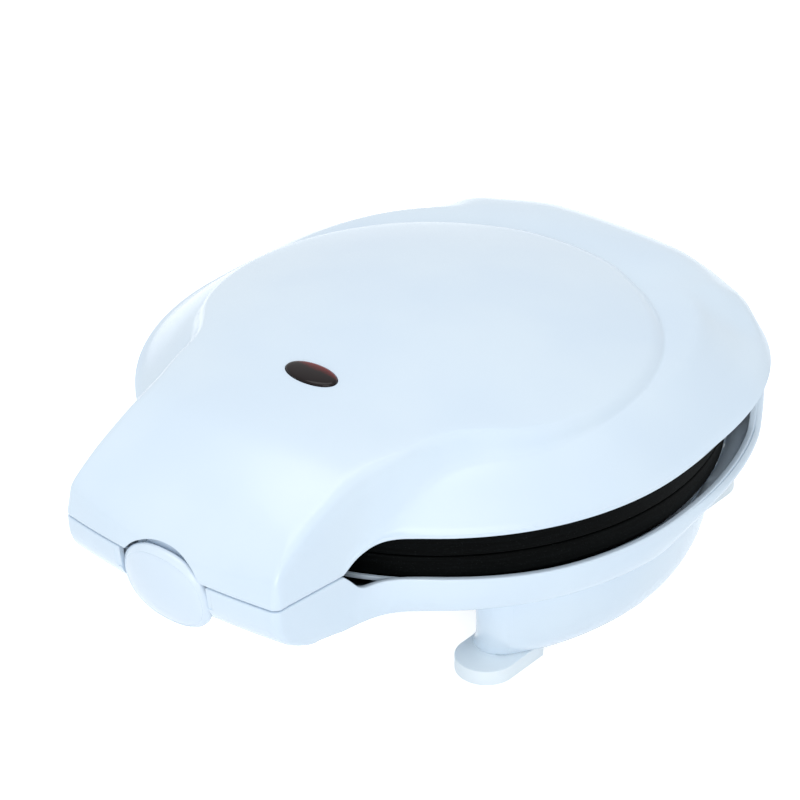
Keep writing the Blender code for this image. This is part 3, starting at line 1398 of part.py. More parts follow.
def oval_rod(name, half_x, half_z, front, back, cutter=True):
    """An oval prism along the latch's own axis, which leans with the handle's front."""
    bm = bmesh.new()
    bmesh.ops.create_cone(bm, cap_ends=True, segments=FINE_STEPS, radius1=1, radius2=1, depth=1)
    bmesh.ops.rotate(bm, cent=(0, 0, 0), matrix=Matrix.Rotation(math.pi / 2, 3, "X"), verts=bm.verts)
    bmesh.ops.scale(bm, vec=(half_x, back - front, half_z), verts=bm.verts)
    bmesh.ops.translate(bm, vec=(0, (front + back) / 2, 0), verts=bm.verts)
    bmesh.ops.rotate(bm, cent=(0, 0, 0), matrix=Matrix.Rotation(LATCH_LEAN, 3, "X"), verts=bm.verts)
    bmesh.ops.translate(bm, vec=latch_centre(), verts=bm.verts)
    bmesh.ops.recalc_face_normals(bm, faces=bm.faces)
    return from_bmesh(name, bm, cutter)


def notch_cutter():
    """The arched notch in the lid's front edge."""
    return oval_rod("latch_notch", LATCH_HALF_WIDTH + NOTCH_GAP, latch_half_height() + NOTCH_GAP,
                    -NOTCH_FRONT, NOTCH_DEPTH)


def recess_cutters():
    """The shallow recess behind the latch, open upwards so that the lid can lift the latch out."""
    half_width, depth = LATCH_HALF_WIDTH + NOTCH_GAP, LATCH_THICK + NOTCH_GAP
    oval = oval_rod("latch_recess", half_width, latch_half_height() + NOTCH_GAP, -NOTCH_FRONT, depth)
    bm = bmesh.new()
    bmesh.ops.create_cube(bm, size=1)
    bmesh.ops.scale(bm, vec=(2 * half_width, NOTCH_FRONT + depth, latch_half_height()), verts=bm.verts)
    bmesh.ops.translate(bm, vec=(0, (depth - NOTCH_FRONT) / 2, latch_half_height() / 2), verts=bm.verts)
    bmesh.ops.rotate(bm, cent=(0, 0, 0), matrix=Matrix.Rotation(LATCH_LEAN, 3, "X"), verts=bm.verts)
    bmesh.ops.translate(bm, vec=latch_centre(), verts=bm.verts)
    return [oval, from_bmesh("latch_way_up", bm, True)]


def make_latch_seat():
    """A thickening behind the handle's front wall that closes the recess."""
    front = latch_centre().y + LATCH_THICK
    return box_between("latch_seat", (-SEAT_HALF, front, SEAT_BOTTOM_Z),
                       (SEAT_HALF, front + SEAT_DEPTH, SEAT_TOP_Z), True)


def make_latch_ears():
    """Two ears inside the lid's nose that carry the latch's pin."""
    ears = []
    for side in (1, -1):
        near, far = sorted((side * (LATCH_KNUCKLE_HALF + RUN_GAP),
                            side * (LATCH_KNUCKLE_HALF + RUN_GAP + LATCH_EAR)))
        ears.append(box_between(f"latch_ear_{side}", (near, LATCH_PIVOT_Y - LATCH_KNUCKLE_RADIUS,
                                                      LATCH_PIVOT_Z - LATCH_KNUCKLE_RADIUS),
                                (far, LATCH_PIVOT_Y + LATCH_KNUCKLE_RADIUS * 2,
                                 panel_z(0, LATCH_PIVOT_Y - LATCH_KNUCKLE_RADIUS) - SHELL_WALL), True))
    return ears


def latch_pin_cutter():
    half = LATCH_KNUCKLE_HALF + LATCH_EAR + CUT_OVERRUN
    start, end = (-half, LATCH_PIVOT_Y, LATCH_PIVOT_Z), (half, LATCH_PIVOT_Y, LATCH_PIVOT_Z)
    return rod("latch_pin_bore", start, end, LATCH_PIN_RADIUS + RUN_GAP, TINY_STEPS, True)


def make_latch(lid, pivot):
    """A domed oval plate with a knuckle behind its top."""
    bm = latch_plate()
    centre = latch_centre()
    bmesh.ops.translate(bm, vec=centre, verts=bm.verts)
    latch = from_bmesh("latch", bm)
    knuckle = rod("latch_knuckle", (-LATCH_KNUCKLE_HALF, LATCH_PIVOT_Y, LATCH_PIVOT_Z),
                  (LATCH_KNUCKLE_HALF, LATCH_PIVOT_Y, LATCH_PIVOT_Z), LATCH_KNUCKLE_RADIUS,
                  SMALL_STEPS, True)
    web = box_between("latch_web", (-LATCH_KNUCKLE_HALF, centre.y, LATCH_PIVOT_Z - LATCH_PIN_RADIUS),
                      (LATCH_KNUCKLE_HALF, LATCH_PIVOT_Y, LATCH_PIVOT_Z + LATCH_PIN_RADIUS), True)
    join(latch, knuckle, web)
    bore = rod("latch_bore", (-LATCH_KNUCKLE_HALF - CUT_OVERRUN, LATCH_PIVOT_Y, LATCH_PIVOT_Z),
               (LATCH_KNUCKLE_HALF + CUT_OVERRUN, LATCH_PIVOT_Y, LATCH_PIVOT_Z),
               LATCH_PIN_RADIUS + RUN_GAP, TINY_STEPS, True)
    cut(latch, bore)
    give_finish(latch, "#E3F0FA", 0.22)
    carry(smooth(latch), pivot)
    half = LATCH_KNUCKLE_HALF + LATCH_EAR
    pin = rod("latch_pin", (-half, LATCH_PIVOT_Y, LATCH_PIVOT_Z), (half, LATCH_PIVOT_Y, LATCH_PIVOT_Z),
              LATCH_PIN_RADIUS, TINY_STEPS)
    give_finish(pin, "#9A9DA0", 0.3, 1.0)
    carry(smooth(pin), lid)


# indicator lens and lamp

def lens_oval(name, grow, low, high, cutter):
    """An oval prism square to the lid's surface at the lens."""
    bm = bmesh.new()
    bmesh.ops.create_cone(bm, cap_ends=True, segments=FINE_STEPS, radius1=1, radius2=1, depth=1)
    bmesh.ops.scale(bm, vec=(LENS_HALF_LENGTH + grow, LENS_HALF_WIDTH + grow, high - low), verts=bm.verts)
    bmesh.ops.translate(bm, vec=(0, 0, (low + high) / 2), verts=bm.verts)
    bmesh.ops.rotate(bm, cent=(0, 0, 0), matrix=Matrix.Rotation(LENS_TILT, 3, "X"), verts=bm.verts)
    bmesh.ops.translate(bm, vec=(0, LENS_Y, panel_z(0, LENS_Y)), verts=bm.verts)
    return from_bmesh(name, bm, cutter)


def lens_cutters():
    return [lens_oval("lens_hole", FIT_GAP, -LENS_DEPTH * 2, LENS_DEPTH, True)]


def make_lens(lid):
    lens = lens_oval("indicator_lens", 0, -LENS_DEPTH, LENS_PROUD, False)
    lip = lens.modifiers.new("round", "BEVEL")
    lip.width = LENS_PROUD
    lip.segments = 2
    lip.limit_method = "ANGLE"
    join(lens, lens_oval("lens_flange", LENS_FLANGE, -LENS_DEPTH - LENS_FLANGE / 2,
                         -SHELL_WALL - LENS_FLANGE, True))
    give_finish(lens, "#5A0B10", 0.12)
    carry(smooth(lens), lid)


def make_lamp(lid):
    """A glow lamp lying in a moulded cradle just below the lens."""
    height = panel_z(0, LENS_Y) - LAMP_DROP
    half = LAMP_LENGTH / 2
    lamp = rod("glow_lamp", (-half, LENS_Y, height), (half, LENS_Y, height), LAMP_RADIUS, SMALL_STEPS)
    give_finish(lamp, "#E9B79A", 0.1)
    carry(smooth(lamp), lid)
    outer = LAMP_RADIUS + FIT_GAP + HOLDER_WALL
    top = panel_z(0, LENS_Y) - LENS_DEPTH - LENS_FLANGE - FIT_GAP
    holder = box_between("lamp_holder", (-half - HOLDER_WALL, LENS_Y - outer, height - outer),
                         (half + HOLDER_WALL, LENS_Y + outer, top))
    space = box_between("lamp_space", (-half - FIT_GAP, LENS_Y - LAMP_RADIUS - FIT_GAP,
                                       height - LAMP_RADIUS - FIT_GAP),
                        (half + FIT_GAP, LENS_Y + LAMP_RADIUS + FIT_GAP, top + CUT_OVERRUN), True)
    cut(holder, space)
    give_finish(holder, "#EEF3F6", 0.4)
    carry(holder, lid)


def build():
    clear_scene()
    root = add_anchor("body_axis", (0, 0, 0))
    lid = add_anchor("lid_axis", (0, HINGE_Y, HINGE_Z), root)
    pivot = add_anchor("latch_axis", (0, LATCH_PIVOT_Y, LATCH_PIVOT_Z), lid)
    make_base(root)
    make_feet(root)
    make_plate("lower_plate", -1, root, LOWER_SKIRT_Z)
    make_screws("base_screw", -1, root)
    make_element("lower_element", -1, root)
    make_clamps("lower_clamp", -1, root)
    make_shield("lower_shield", -1, root)
    make_thermostat(root)
    make_fuse(root)
    make_terminal_block(root)
    make_gland(root)
    make_base_leads(root)
    make_pins(root)
    make_lid(lid)
    make_plate("upper_plate", 1, lid, UPPER_SKIRT_Z)
    make_screws("lid_screw", 1, lid)
    make_element("upper_element", 1, lid)
    make_clamps("upper_clamp", 1, lid)
    make_shield("upper_shield", 1, lid)
    make_sleeves(root, lid)
    make_latch(lid, pivot)
    make_lens(lid)
    make_lamp(lid)
    root.location = (0, CENTRE_Y, 0)


build()
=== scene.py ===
# %% [markdown]
# # Dressing a round sandwich maker
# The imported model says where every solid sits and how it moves.  This lesson keeps
# those places and gives the object the surfaces that the eye expects: smooth
# moulded shells, a pressed-in latch, a tinted lens and coated plates.
# Each step says what the real piece is, and why it is made this way here.

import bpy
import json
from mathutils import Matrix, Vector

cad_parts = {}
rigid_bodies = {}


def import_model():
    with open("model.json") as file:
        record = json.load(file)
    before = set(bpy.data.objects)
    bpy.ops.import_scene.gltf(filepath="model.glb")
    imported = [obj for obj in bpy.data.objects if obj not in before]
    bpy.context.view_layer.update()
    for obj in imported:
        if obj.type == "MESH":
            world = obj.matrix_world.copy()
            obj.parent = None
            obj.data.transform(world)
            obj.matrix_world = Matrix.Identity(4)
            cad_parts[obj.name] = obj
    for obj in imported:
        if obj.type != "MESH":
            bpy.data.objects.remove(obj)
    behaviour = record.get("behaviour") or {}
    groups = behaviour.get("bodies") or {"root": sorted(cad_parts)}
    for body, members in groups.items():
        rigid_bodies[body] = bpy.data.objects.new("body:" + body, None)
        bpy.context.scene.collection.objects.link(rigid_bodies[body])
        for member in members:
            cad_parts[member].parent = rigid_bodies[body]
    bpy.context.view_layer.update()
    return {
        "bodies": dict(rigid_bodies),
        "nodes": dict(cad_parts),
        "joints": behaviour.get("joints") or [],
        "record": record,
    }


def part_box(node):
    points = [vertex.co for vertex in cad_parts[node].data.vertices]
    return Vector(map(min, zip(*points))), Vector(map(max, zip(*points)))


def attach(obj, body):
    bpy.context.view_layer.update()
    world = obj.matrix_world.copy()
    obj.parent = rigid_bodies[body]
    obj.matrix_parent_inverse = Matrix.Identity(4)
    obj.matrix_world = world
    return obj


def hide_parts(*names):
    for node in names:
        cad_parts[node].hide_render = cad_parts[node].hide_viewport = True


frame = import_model()

# %% Tools of the trade
import json
import math

import bmesh
import bpy
import numpy as np
from mathutils import Matrix, Vector

nodes = frame["nodes"]
scene = bpy.context.scene
scene.view_settings.view_transform = "Standard"

# %% [markdown]
# ## The camera
# The photograph is taken from the front right and above, from about a metre and a
# quarter away with a long lens, so the far side hardly shrinks.  The place was
# found by matching points of the object whose sizes are known.

# %% Set up the camera
plate_low, plate_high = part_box("lower_plate")
CENTRE_Y = (plate_low.y + plate_high.y) / 2
CAMERA_PLACE = Vector((0.66671, CENTRE_Y - 0.83053, 0.69060))
CAMERA_RIGHT = Vector((0.7725, 0.635, 0.0))
CAMERA_AIM = Vector((-0.5454, 0.6635, -0.5121))
LENS_MM = 155.2

camera = bpy.data.objects.new("camera", bpy.data.cameras.new("camera"))
camera.data.lens = LENS_MM
camera.data.sensor_width = 36.0
scene.collection.objects.link(camera)
camera_up = CAMERA_RIGHT.cross(CAMERA_AIM).normalized()
camera_side = CAMERA_AIM.cross(camera_up).normalized()
turn = Matrix((camera_side, camera_up, -CAMERA_AIM.normalized())).transposed()
camera.matrix_world = Matrix.Translation(CAMERA_PLACE) @ turn.to_4x4()
scene.camera = camera
print("camera", round((CAMERA_PLACE - Vector((0, CENTRE_Y, 0.06))).length, 3), "m from the object")

# %% [markdown]
# ## Colours and nodes
# Colours are written as sRGB hex, the way a paint chart gives them, and turned to
# linear light by one function.  Patterns are sized in millimetres: texture
# coordinates are metres here, so a pattern that repeats every few millimetres
# needs a scale of a thousand divided by that size.


# %% Colour, scale and one node helper
def linear(hex_colour):
    """An sRGB hex colour as linear RGBA."""
    channels = [int(hex_colour[i:i + 2], 16) / 255 for i in (1, 3, 5)]
    return (*[c / 12.92 if c <= 0.04045 else ((c + 0.055) / 1.055) ** 2.4 for c in channels], 1.0)


def per_mm(size):
    """Texture scale of a pattern that repeats every so many millimetres."""
    return 1000.0 / size


def add_node(tree, kind, inputs=None, how=None):
    """Add a node; an input is a value, or a pair of another node and its output."""
    node = tree.nodes.new(kind)
    for key, value in (how or {}).items():
        setattr(node, key, value)
    for key, value in (inputs or {}).items():
        if isinstance(value, tuple) and isinstance(value[0], bpy.types.Node):
            tree.links.new(value[0].outputs[value[1]], node.inputs[key])
        else:
            node.inputs[key].default_value = value
    return node


def start_material(name, roughness, metallic=0.0, ior=1.5):
    """An empty Principled material, its tree, its shader and object coordinates."""
    material = bpy.data.materials.new(name)
    material.use_nodes = True
    tree = material.node_tree
    tree.nodes.clear()
    shader = add_node(tree, "ShaderNodeBsdfPrincipled",
                      {"Roughness": roughness, "Metallic": metallic, "IOR": ior})
    add_node(tree, "ShaderNodeOutputMaterial", {"Surface": (shader, "BSDF")})
    place = add_node(tree, "ShaderNodeTexCoord")
    return material, tree, shader, place


def two_tone(tree, pattern, output, low, high, dark, light):
    """Colour that runs from dark to light as a pattern goes from low to high."""
    ramp = add_node(tree, "ShaderNodeValToRGB", {"Fac": (pattern, output)})
    ramp.color_ramp.elements[0].position = low
    ramp.color_ramp.elements[1].position = high
    ramp.color_ramp.elements[0].color = linear(dark)
    ramp.color_ramp.elements[1].color = linear(light)
    return ramp


def spread(tree, pattern, output, low, high):
    """A pattern from 0 to 1, spread between two numbers."""
    return add_node(tree, "ShaderNodeMapRange", {"Value": (pattern, output), "To Min": low, "To Max": high})


def lead_in(tree, shader, colour, gloss, relief):
    """Lead a finish's colour, roughness and relief into its shader."""
    tree.links.new(colour.outputs["Color"], shader.inputs["Base Color"])
    tree.links.new(gloss.outputs["Result"], shader.inputs["Roughness"])
    tree.links.new(relief.outputs["Normal"], shader.inputs["Normal"])


print("middle grey as linear light:", round(linear("#808080")[0], 3))


# %% [markdown]
# ## White ABS
# The casing is ABS plastic, shot hot into a polished steel mould.  The mould leaves
# a gloss that is nearly a mirror at a glance, with a faint waviness over the wide
# faces (the skin shrinks as it cools) and a very fine unevenness that softens the
# reflection.  The plastic is white with a cool cast.


# %% Moulded ABS
ABS_WHITE = "#DCEAF8"
ABS_WHITE_LIGHT = "#E0EDF9"
SINK_WAVE_MM = 38.0
PEEL_MM = 2.4
POLISH_MM = 0.5


def moulded_abs(name, dark, light, roughness):
    """Polished white ABS: broad waves, orange peel and uneven polish."""
    material, tree, shader, place = start_material(name, roughness)
    wave = add_node(tree, "ShaderNodeTexNoise", {"Vector": (place, "Object"), "Scale": per_mm(SINK_WAVE_MM),
                                                 "Detail": 2.0, "Roughness": 0.4})
    peel = add_node(tree, "ShaderNodeTexNoise", {"Vector": (place, "Object"), "Scale": per_mm(PEEL_MM),
                                                 "Detail": 2.0, "Roughness": 0.5})
    polish = add_node(tree, "ShaderNodeTexNoise", {"Vector": (place, "Object"), "Scale": per_mm(POLISH_MM),
                                                   "Detail": 3.0, "Roughness": 0.6})
    tone = two_tone(tree, wave, "Fac", 0.35, 0.65, dark, light)
    gloss = spread(tree, polish, "Fac", roughness - 0.05, roughness + 0.07)
    broad = add_node(tree, "ShaderNodeBump", {"Height": (wave, "Fac"), "Strength": 0.03, "Distance": 0.0006})
    fine = add_node(tree, "ShaderNodeBump", {"Height": (peel, "Fac"), "Strength": 0.10, "Distance": 0.00005,
                                             "Normal": (broad, "Normal")})
    lead_in(tree, shader, tone, gloss, fine)
    shader.inputs["Coat Weight"].default_value = 0.15
    shader.inputs["Coat Roughness"].default_value = 0.08
    return material


abs_shell = moulded_abs("abs_polished_shell", ABS_WHITE, ABS_WHITE_LIGHT, 0.24)
abs_latch = moulded_abs("abs_polished_latch", "#DDEAF8", "#E0ECF9", 0.22)
# The feet are a lighter white than the shell: painted light that makes up for the shade under the body.
abs_foot_painted_light = moulded_abs("abs_satin_foot_painted_light", "#F0F8FE", "#F4FBFF", 0.34)
print("ABS finishes:", abs_shell.name, abs_latch.name, abs_foot_painted_light.name)

# %% [markdown]
# ## Non-stick coating
# The plates are cast aluminium, blasted and sprayed with black PTFE.  The spray
# dries to a satin black with pale flecks of filler, and the cast edge under it
# keeps fine turning marks that run round the plate.


# %% Sprayed PTFE on cast aluminium
FLECK_MM = 0.7
SPRAY_MM = 0.9
TURNING_MM = 0.8
TURNING_LENGTH_MM = 22.0


def sprayed_ptfe(name):
    """Black coating with flecks, spray texture and turning marks on upright edges."""
    material, tree, shader, place = start_material(name, 0.55, ior=1.35)
    fleck = add_node(tree, "ShaderNodeTexVoronoi", {"Vector": (place, "Object"), "Scale": per_mm(FLECK_MM)})
    spray = add_node(tree, "ShaderNodeTexNoise", {"Vector": (place, "Object"), "Scale": per_mm(SPRAY_MM),
                                                  "Detail": 4.0, "Roughness": 0.7})
    stretch = TURNING_LENGTH_MM / TURNING_MM
    squeeze = add_node(tree, "ShaderNodeMapping", {"Vector": (place, "Object"), "Scale": (1.0, 1.0, stretch)})
    marks = add_node(tree, "ShaderNodeTexNoise", {"Vector": (squeeze, "Vector"),
                                                  "Scale": per_mm(TURNING_LENGTH_MM), "Detail": 5.0,
                                                  "Roughness": 0.75})
    base = two_tone(tree, marks, "Fac", 0.46, 0.80, "#010202", "#0A0D0E")
    pale = two_tone(tree, fleck, "Distance", 0.04, 0.15, "#7C8684", "#000000")
    mix = add_node(tree, "ShaderNodeMixRGB", {"Fac": 0.16, "Color1": (base, "Color"),
                                              "Color2": (pale, "Color")}, {"blend_type": "ADD"})
    dull = spread(tree, spray, "Fac", 0.50, 0.80)
    bump = add_node(tree, "ShaderNodeBump", {"Height": (spray, "Fac"), "Strength": 0.45, "Distance": 0.00012})
    turned_bump = add_node(tree, "ShaderNodeBump", {"Height": (marks, "Fac"), "Strength": 0.5,
                                                    "Distance": 0.00015, "Normal": (bump, "Normal")})
    lead_in(tree, shader, mix, dull, turned_bump)
    shader.inputs["Specular IOR Level"].default_value = 0.07
    return material


ptfe_black = sprayed_ptfe("ptfe_sprayed_black")
print("coating:", ptfe_black.name)

# %% [markdown]
# ## Metals inside
# The parts inside are bare metal.  Rolled sheet keeps long faint lines, plated
# screws are finer and brighter, and a heater's steel sheath turns dull and brown
# in blotches from the heat.  All three are the same idea with other colours.


# %% Rolled, plated and heat-dulled steel
def worked_steel(name, dark, light, roughness, grain_mm, length_mm):
    """Bare metal with lines of grain that run along X."""
    material, tree, shader, place = start_material(name, roughness, metallic=1.0)
    squeeze = add_node(tree, "ShaderNodeMapping", {"Vector": (place, "Object"),
                                                   "Scale": (grain_mm / length_mm, 1.0, 1.0)})
    grain = add_node(tree, "ShaderNodeTexNoise", {"Vector": (squeeze, "Vector"), "Scale": per_mm(grain_mm),
                                                  "Detail": 4.0, "Roughness": 0.65})
    tone = two_tone(tree, grain, "Fac", 0.3, 0.7, dark, light)
    dull = spread(tree, grain, "Fac", roughness - 0.08, roughness + 0.12)
    bump = add_node(tree, "ShaderNodeBump", {"Height": (grain, "Fac"), "Strength": 0.2, "Distance": 0.00004})
    lead_in(tree, shader, tone, dull, bump)
    return material


steel_sheet = worked_steel("steel_rolled_sheet", "#A9ACAE", "#C6C9CB", 0.32, 0.5, 20.0)
steel_plated = worked_steel("steel_zinc_plated", "#84888C", "#A2A6AA", 0.34, 0.4, 1.2)
steel_pin = worked_steel("steel_drawn_pin", "#8E9193", "#A9ACAF", 0.28, 0.3, 12.0)
steel_sheath = worked_steel("steel_sheath_heat_dulled", "#4A4645", "#77706B", 0.45, 3.0, 5.0)
print("metals:", [m.name for m in (steel_sheet, steel_plated, steel_pin, steel_sheath)])

# %% [markdown]
# ## Small parts in plastic, ceramic, glass and woven sleeving
# Phenolic is pressed from brown powder and looks mealy.  Steatite ceramic is
# matt and chalky.  Nylon is milky and waxy.  The leads wear a woven glass sleeve,
# whose crossing threads show as a fine diamond pattern.


# %% Powdery, milky and woven finishes
def pressed_grain(name, dark, light, roughness, grain_mm):
    """A moulded or pressed body with a visible grain."""
    material, tree, shader, place = start_material(name, roughness)
    grain = add_node(tree, "ShaderNodeTexNoise", {"Vector": (place, "Object"), "Scale": per_mm(grain_mm),
                                                  "Detail": 5.0, "Roughness": 0.7})
    tone = two_tone(tree, grain, "Fac", 0.35, 0.65, dark, light)
    dull = spread(tree, grain, "Fac", roughness - 0.06, roughness + 0.1)
    bump = add_node(tree, "ShaderNodeBump", {"Height": (grain, "Fac"), "Strength": 0.2, "Distance": 0.00006})
    lead_in(tree, shader, tone, dull, bump)
    return material


SLEEVE_THREAD_MM = 0.8


def woven_sleeve(name):
    """Woven glass sleeving: two waves of threads that cross."""
    material, tree, shader, place = start_material(name, 0.7)
    waves = []
    for lean in (0.7, -0.7):
        lay = add_node(tree, "ShaderNodeMapping", {"Vector": (place, "Object"),
                                                   "Rotation": (lean, 0.0, lean)})
        waves.append(add_node(tree, "ShaderNodeTexWave", {"Vector": (lay, "Vector"),
                                                          "Scale": per_mm(SLEEVE_THREAD_MM) / math.tau}))
    weave = add_node(tree, "ShaderNodeMath", {0: (waves[0], "Fac"), 1: (waves[1], "Fac")},
                     {"operation": "MAXIMUM"})
    tone = two_tone(tree, weave, "Value", 0.2, 0.9, "#CFC9B8", "#F0ECDF")
    bump = add_node(tree, "ShaderNodeBump", {"Height": (weave, "Value"), "Strength": 0.5, "Distance": 0.0001})
    tree.links.new(tone.outputs["Color"], shader.inputs["Base Color"])
    tree.links.new(bump.outputs["Normal"], shader.inputs["Normal"])
    return material


phenolic = pressed_grain("phenolic_pressed", "#2E2724", "#463C37", 0.42, 0.9)
steatite = pressed_grain("steatite_ceramic", "#CFC9B9", "#E2DDD0", 0.55, 0.7)
nylon_cream = pressed_grain("nylon_cream", "#E6E1D2", "#F2EEE2", 0.42, 1.6)
nylon_white = pressed_grain("nylon_white", "#D6E5EF", "#E3EFF7", 0.42, 1.6)
glass_sleeve = woven_sleeve("glass_sleeve_woven")

# %% [markdown]
# ## Tinted acrylic and lamp glass
# The indicator window is polished acrylic, tinted so deep a red that it looks nearly black until the lamp
# behind it shines.  The room's light that passes through its rear edge is painted into its colour: painted
# light that runs from black in front to a dull red behind.

# %% Red acrylic
GLOW_START = 0.0008
GLOW_END = 0.0052
SWIRL_MM = 4.0
SWIRL_SHIFT = 0.0012
HAZE_MM = 3.0
lens_low, lens_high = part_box("indicator_lens")
lens_middle = (lens_low + lens_high) / 2
acrylic_red, tree, shader, place = start_material("acrylic_red_tinted", 0.07, ior=1.49)
shift = add_node(tree, "ShaderNodeMapping", {"Vector": (place, "Object"), "Location": tuple(-lens_middle)})
axes = add_node(tree, "ShaderNodeSeparateXYZ", {"Vector": (shift, "Vector")})
swirl = add_node(tree, "ShaderNodeTexNoise", {"Vector": (place, "Object"), "Scale": per_mm(SWIRL_MM)})
wander = spread(tree, swirl, "Fac", -SWIRL_SHIFT, SWIRL_SHIFT)
along = add_node(tree, "ShaderNodeMath", {0: (axes, "Y"), 1: (wander, "Result")}, {"operation": "ADD"})
# Painted light: the colour runs from black in front to a dull red at the rear edge, where the room's light
# comes through.
depth = add_node(tree, "ShaderNodeMapRange", {"Value": (along, "Value"), "From Min": GLOW_START,
                                              "From Max": GLOW_END})
painted_edge_light = two_tone(tree, depth, "Result", 0.0, 1.0, "#100305", "#8A0A12")
bump = add_node(tree, "ShaderNodeBump", {"Height": (swirl, "Fac"), "Strength": 0.1, "Distance": 0.0001})
tree.links.new(painted_edge_light.outputs["Color"], shader.inputs["Base Color"])
tree.links.new(bump.outputs["Normal"], shader.inputs["Normal"])
shader.inputs["Specular IOR Level"].default_value = 0.25

lamp_glass, tree, shader, place = start_material("glass_glow_lamp", 0.06, ior=1.5)
haze = add_node(tree, "ShaderNodeTexNoise", {"Vector": (place, "Object"), "Scale": per_mm(HAZE_MM)})
amber = two_tone(tree, haze, "Fac", 0.3, 0.7, "#D99A72", "#F2C9AC")
tree.links.new(amber.outputs["Color"], shader.inputs["Base Color"])
shader.inputs["Transmission Weight"].default_value = 0.6
print("acrylic and glass ready; lens sits at", tuple(round(v, 4) for v in lens_middle))

# %% [markdown]
# ## Finishes for the solids that stay
# Most of the inner parts keep their imported solids.  A table pairs each family of names with its finish.

# %% Give every imported solid its finish
FINISH_BY_WORD = [
    ("foot_", abs_foot_painted_light), ("_shell", abs_shell), ("latch_pin", steel_pin), ("latch", abs_latch),
    ("_plate", ptfe_black), ("screw", steel_plated), ("_element", steel_sheath), ("clamp", steel_sheet),
    ("shield", steel_sheet), ("thermostat", phenolic), ("fuse", steatite), ("terminal", nylon_cream),
    ("gland", nylon_white), ("holder", nylon_white), ("sleeve", glass_sleeve), ("hinge_pin", steel_pin),
    ("lens", acrylic_red), ("lamp", lamp_glass),
]
for name, node in nodes.items():
    words = "sleeve" if name.startswith("lead_") else name
    finish = next(material for word, material in FINISH_BY_WORD if word in words)
    node.data.materials.clear()
    node.data.materials.append(finish)
print("finished", len(nodes), "packed solids")

# %% [markdown]
# ## Measures of the shells
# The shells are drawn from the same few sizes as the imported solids, only with many
# more points.  Positions are metres from the middle of the round body; the front
# is towards -Y.

# %% Sizes of the shells
BODY_RADIUS = 0.107
REAR_REACH = 0.1195
REAR_POWER = 2.6
REAR_TUCK_SHARE = 0.968
HANDLE_REACH = 0.1446
HANDLE_BOW = 0.0034
HANDLE_CORNER = 0.0038
HANDLE_HALF_WIDTH = 0.0506
CREASE_HALF_WIDTH = 0.0464
CREASE_REACH = 0.1428
HANDLE_FLOOR_REACH = 0.1262
HANDLE_FLOOR_HALF_SHARE = 0.985
HANDLE_FLOOR_INNER_Y = 0.106
PANEL_RADIUS = 0.0815
PANEL_CENTRE_Y = -0.0046
PANEL_FOCUS_Y = -0.020
PANEL_CROWN = 0.012
LEDGE_RADIUS = 0.1005
BOWL_UNIT = 0.100

TOP_Z = 0.100
SHOULDER_FOOT_Z = 0.0835
LID_EDGE_Z = 0.0656
HANDLE_PART_Z = 0.0578
RIM_Z = 0.0482
HANDLE_FLOOR_Z = 0.0348
LEDGE_Z = 0.0345
BOWL_Z = 0.010
HINGE_GAP_Z = 0.0568
REAR_RISE_START_Y = 0.067
REAR_RISE_END_Y = 0.081
HINGE_DIP_INNER = 0.043
HINGE_DIP_OUTER = 0.049

SHELL_WALL = 0.0023
PART_GAP = 0.0006
LIP_HEIGHT = 0.0016
CREASE_DROP = 0.0009
EDGE_ROUND = 0.0006
FLANGE_TAPER = 0.003
QUARTER_TAPER = 0.002
QUARTER_RISE = 0.0075
QUARTER_BULGE = 0.0024
FRONT_RIM_RISE = 0.0014
FRONT_RISE_START_Y = -0.092
FRONT_RISE_END_Y = -0.045
QUARTER_START_Y = -0.008
QUARTER_END_Y = 0.040
QUARTER_INNER_X = 0.030
QUARTER_OUTER_X = 0.060
FLANGE_BEND = 3.0
WALL_BEND_TONGUE = 1.1
WALL_BEND_ROUND = 3.0

# %% Shares that shape the outlines and the sections
HANDLE_SIDE_SHARES = [(0.935, 0.950), (0.866, 0.970), (0.761, 1.000)]
NECK_SIDE_SHARES = [(0.761, 1.000), (0.712, 1.024), (0.663, 1.075), (0.632, 1.140), (0.605, 1.225),
                    (0.583, 1.302)]
SWEEP_END_SHARE = 0.626
CREASE_SIDE_SHARES = [(0.935, 1.000), (0.829, 1.006), (0.726, 1.022)]
CREASE_NECK_SHARES = [(0.726, 1.022), (0.655, 1.046), (0.5985, 1.085), (0.5035, 1.150)]
CREASE_ROUND_SHARES = [
    (-52.0, 1.060), (-48.0, 1.012), (-42.0, 0.982),
    (-37.0, 0.978), (-30.0, 0.992), (-20.0, 1.000), (90.0, 1.000),
]
SPINE_SHARES = [
    (-1.000, 0.010), (-0.990, 0.140), (-0.978, 0.235), (-0.940, 0.370),
    (-0.890, 0.500), (-0.837, 0.612), (-0.773, 0.715), (-0.724, 0.785),
    (-0.622, 0.860), (-0.463, 0.925), (-0.311, 0.974), (-0.138, 1.000),
    (0.138, 0.953), (0.346, 0.853), (0.532, 0.716), (0.823, 0.500),
]
CROWN_SHARES = [(-1.0, 0.02), (-0.9, 0.30), (-0.78, 0.62), (-0.4, 0.90), (-0.14, 1.0), (0.9, 1.0)]
SHOULDER_SIDE_SHARES = [
    (-1.0, -0.9), (0.0, 0.0), (0.10, 0.13), (0.35, 0.43), (0.61, 0.71), (0.87, 0.93),
    (1.0, 1.0), (1.5, 1.03), (5.0, 1.03),
]
SHOULDER_QUARTER_SHARES = [
    (-1.0, -1.6), (0.0, 0.04), (0.02, 0.14), (0.06, 0.22), (0.20, 0.34), (0.43, 0.48),
    (0.61, 0.64), (0.80, 0.81), (0.93, 0.95), (1.0, 1.0), (1.5, 1.03), (5.0, 1.03),
]
SHOULDER_HUMP_SHARES = [
    (-1.0, -2.0), (0.0, 0.05), (0.04, 0.25), (0.08, 0.42), (0.12, 0.53), (0.28, 0.69),
    (0.46, 0.85), (0.70, 0.95), (0.94, 1.01), (1.37, 1.05), (5.0, 1.05),
]
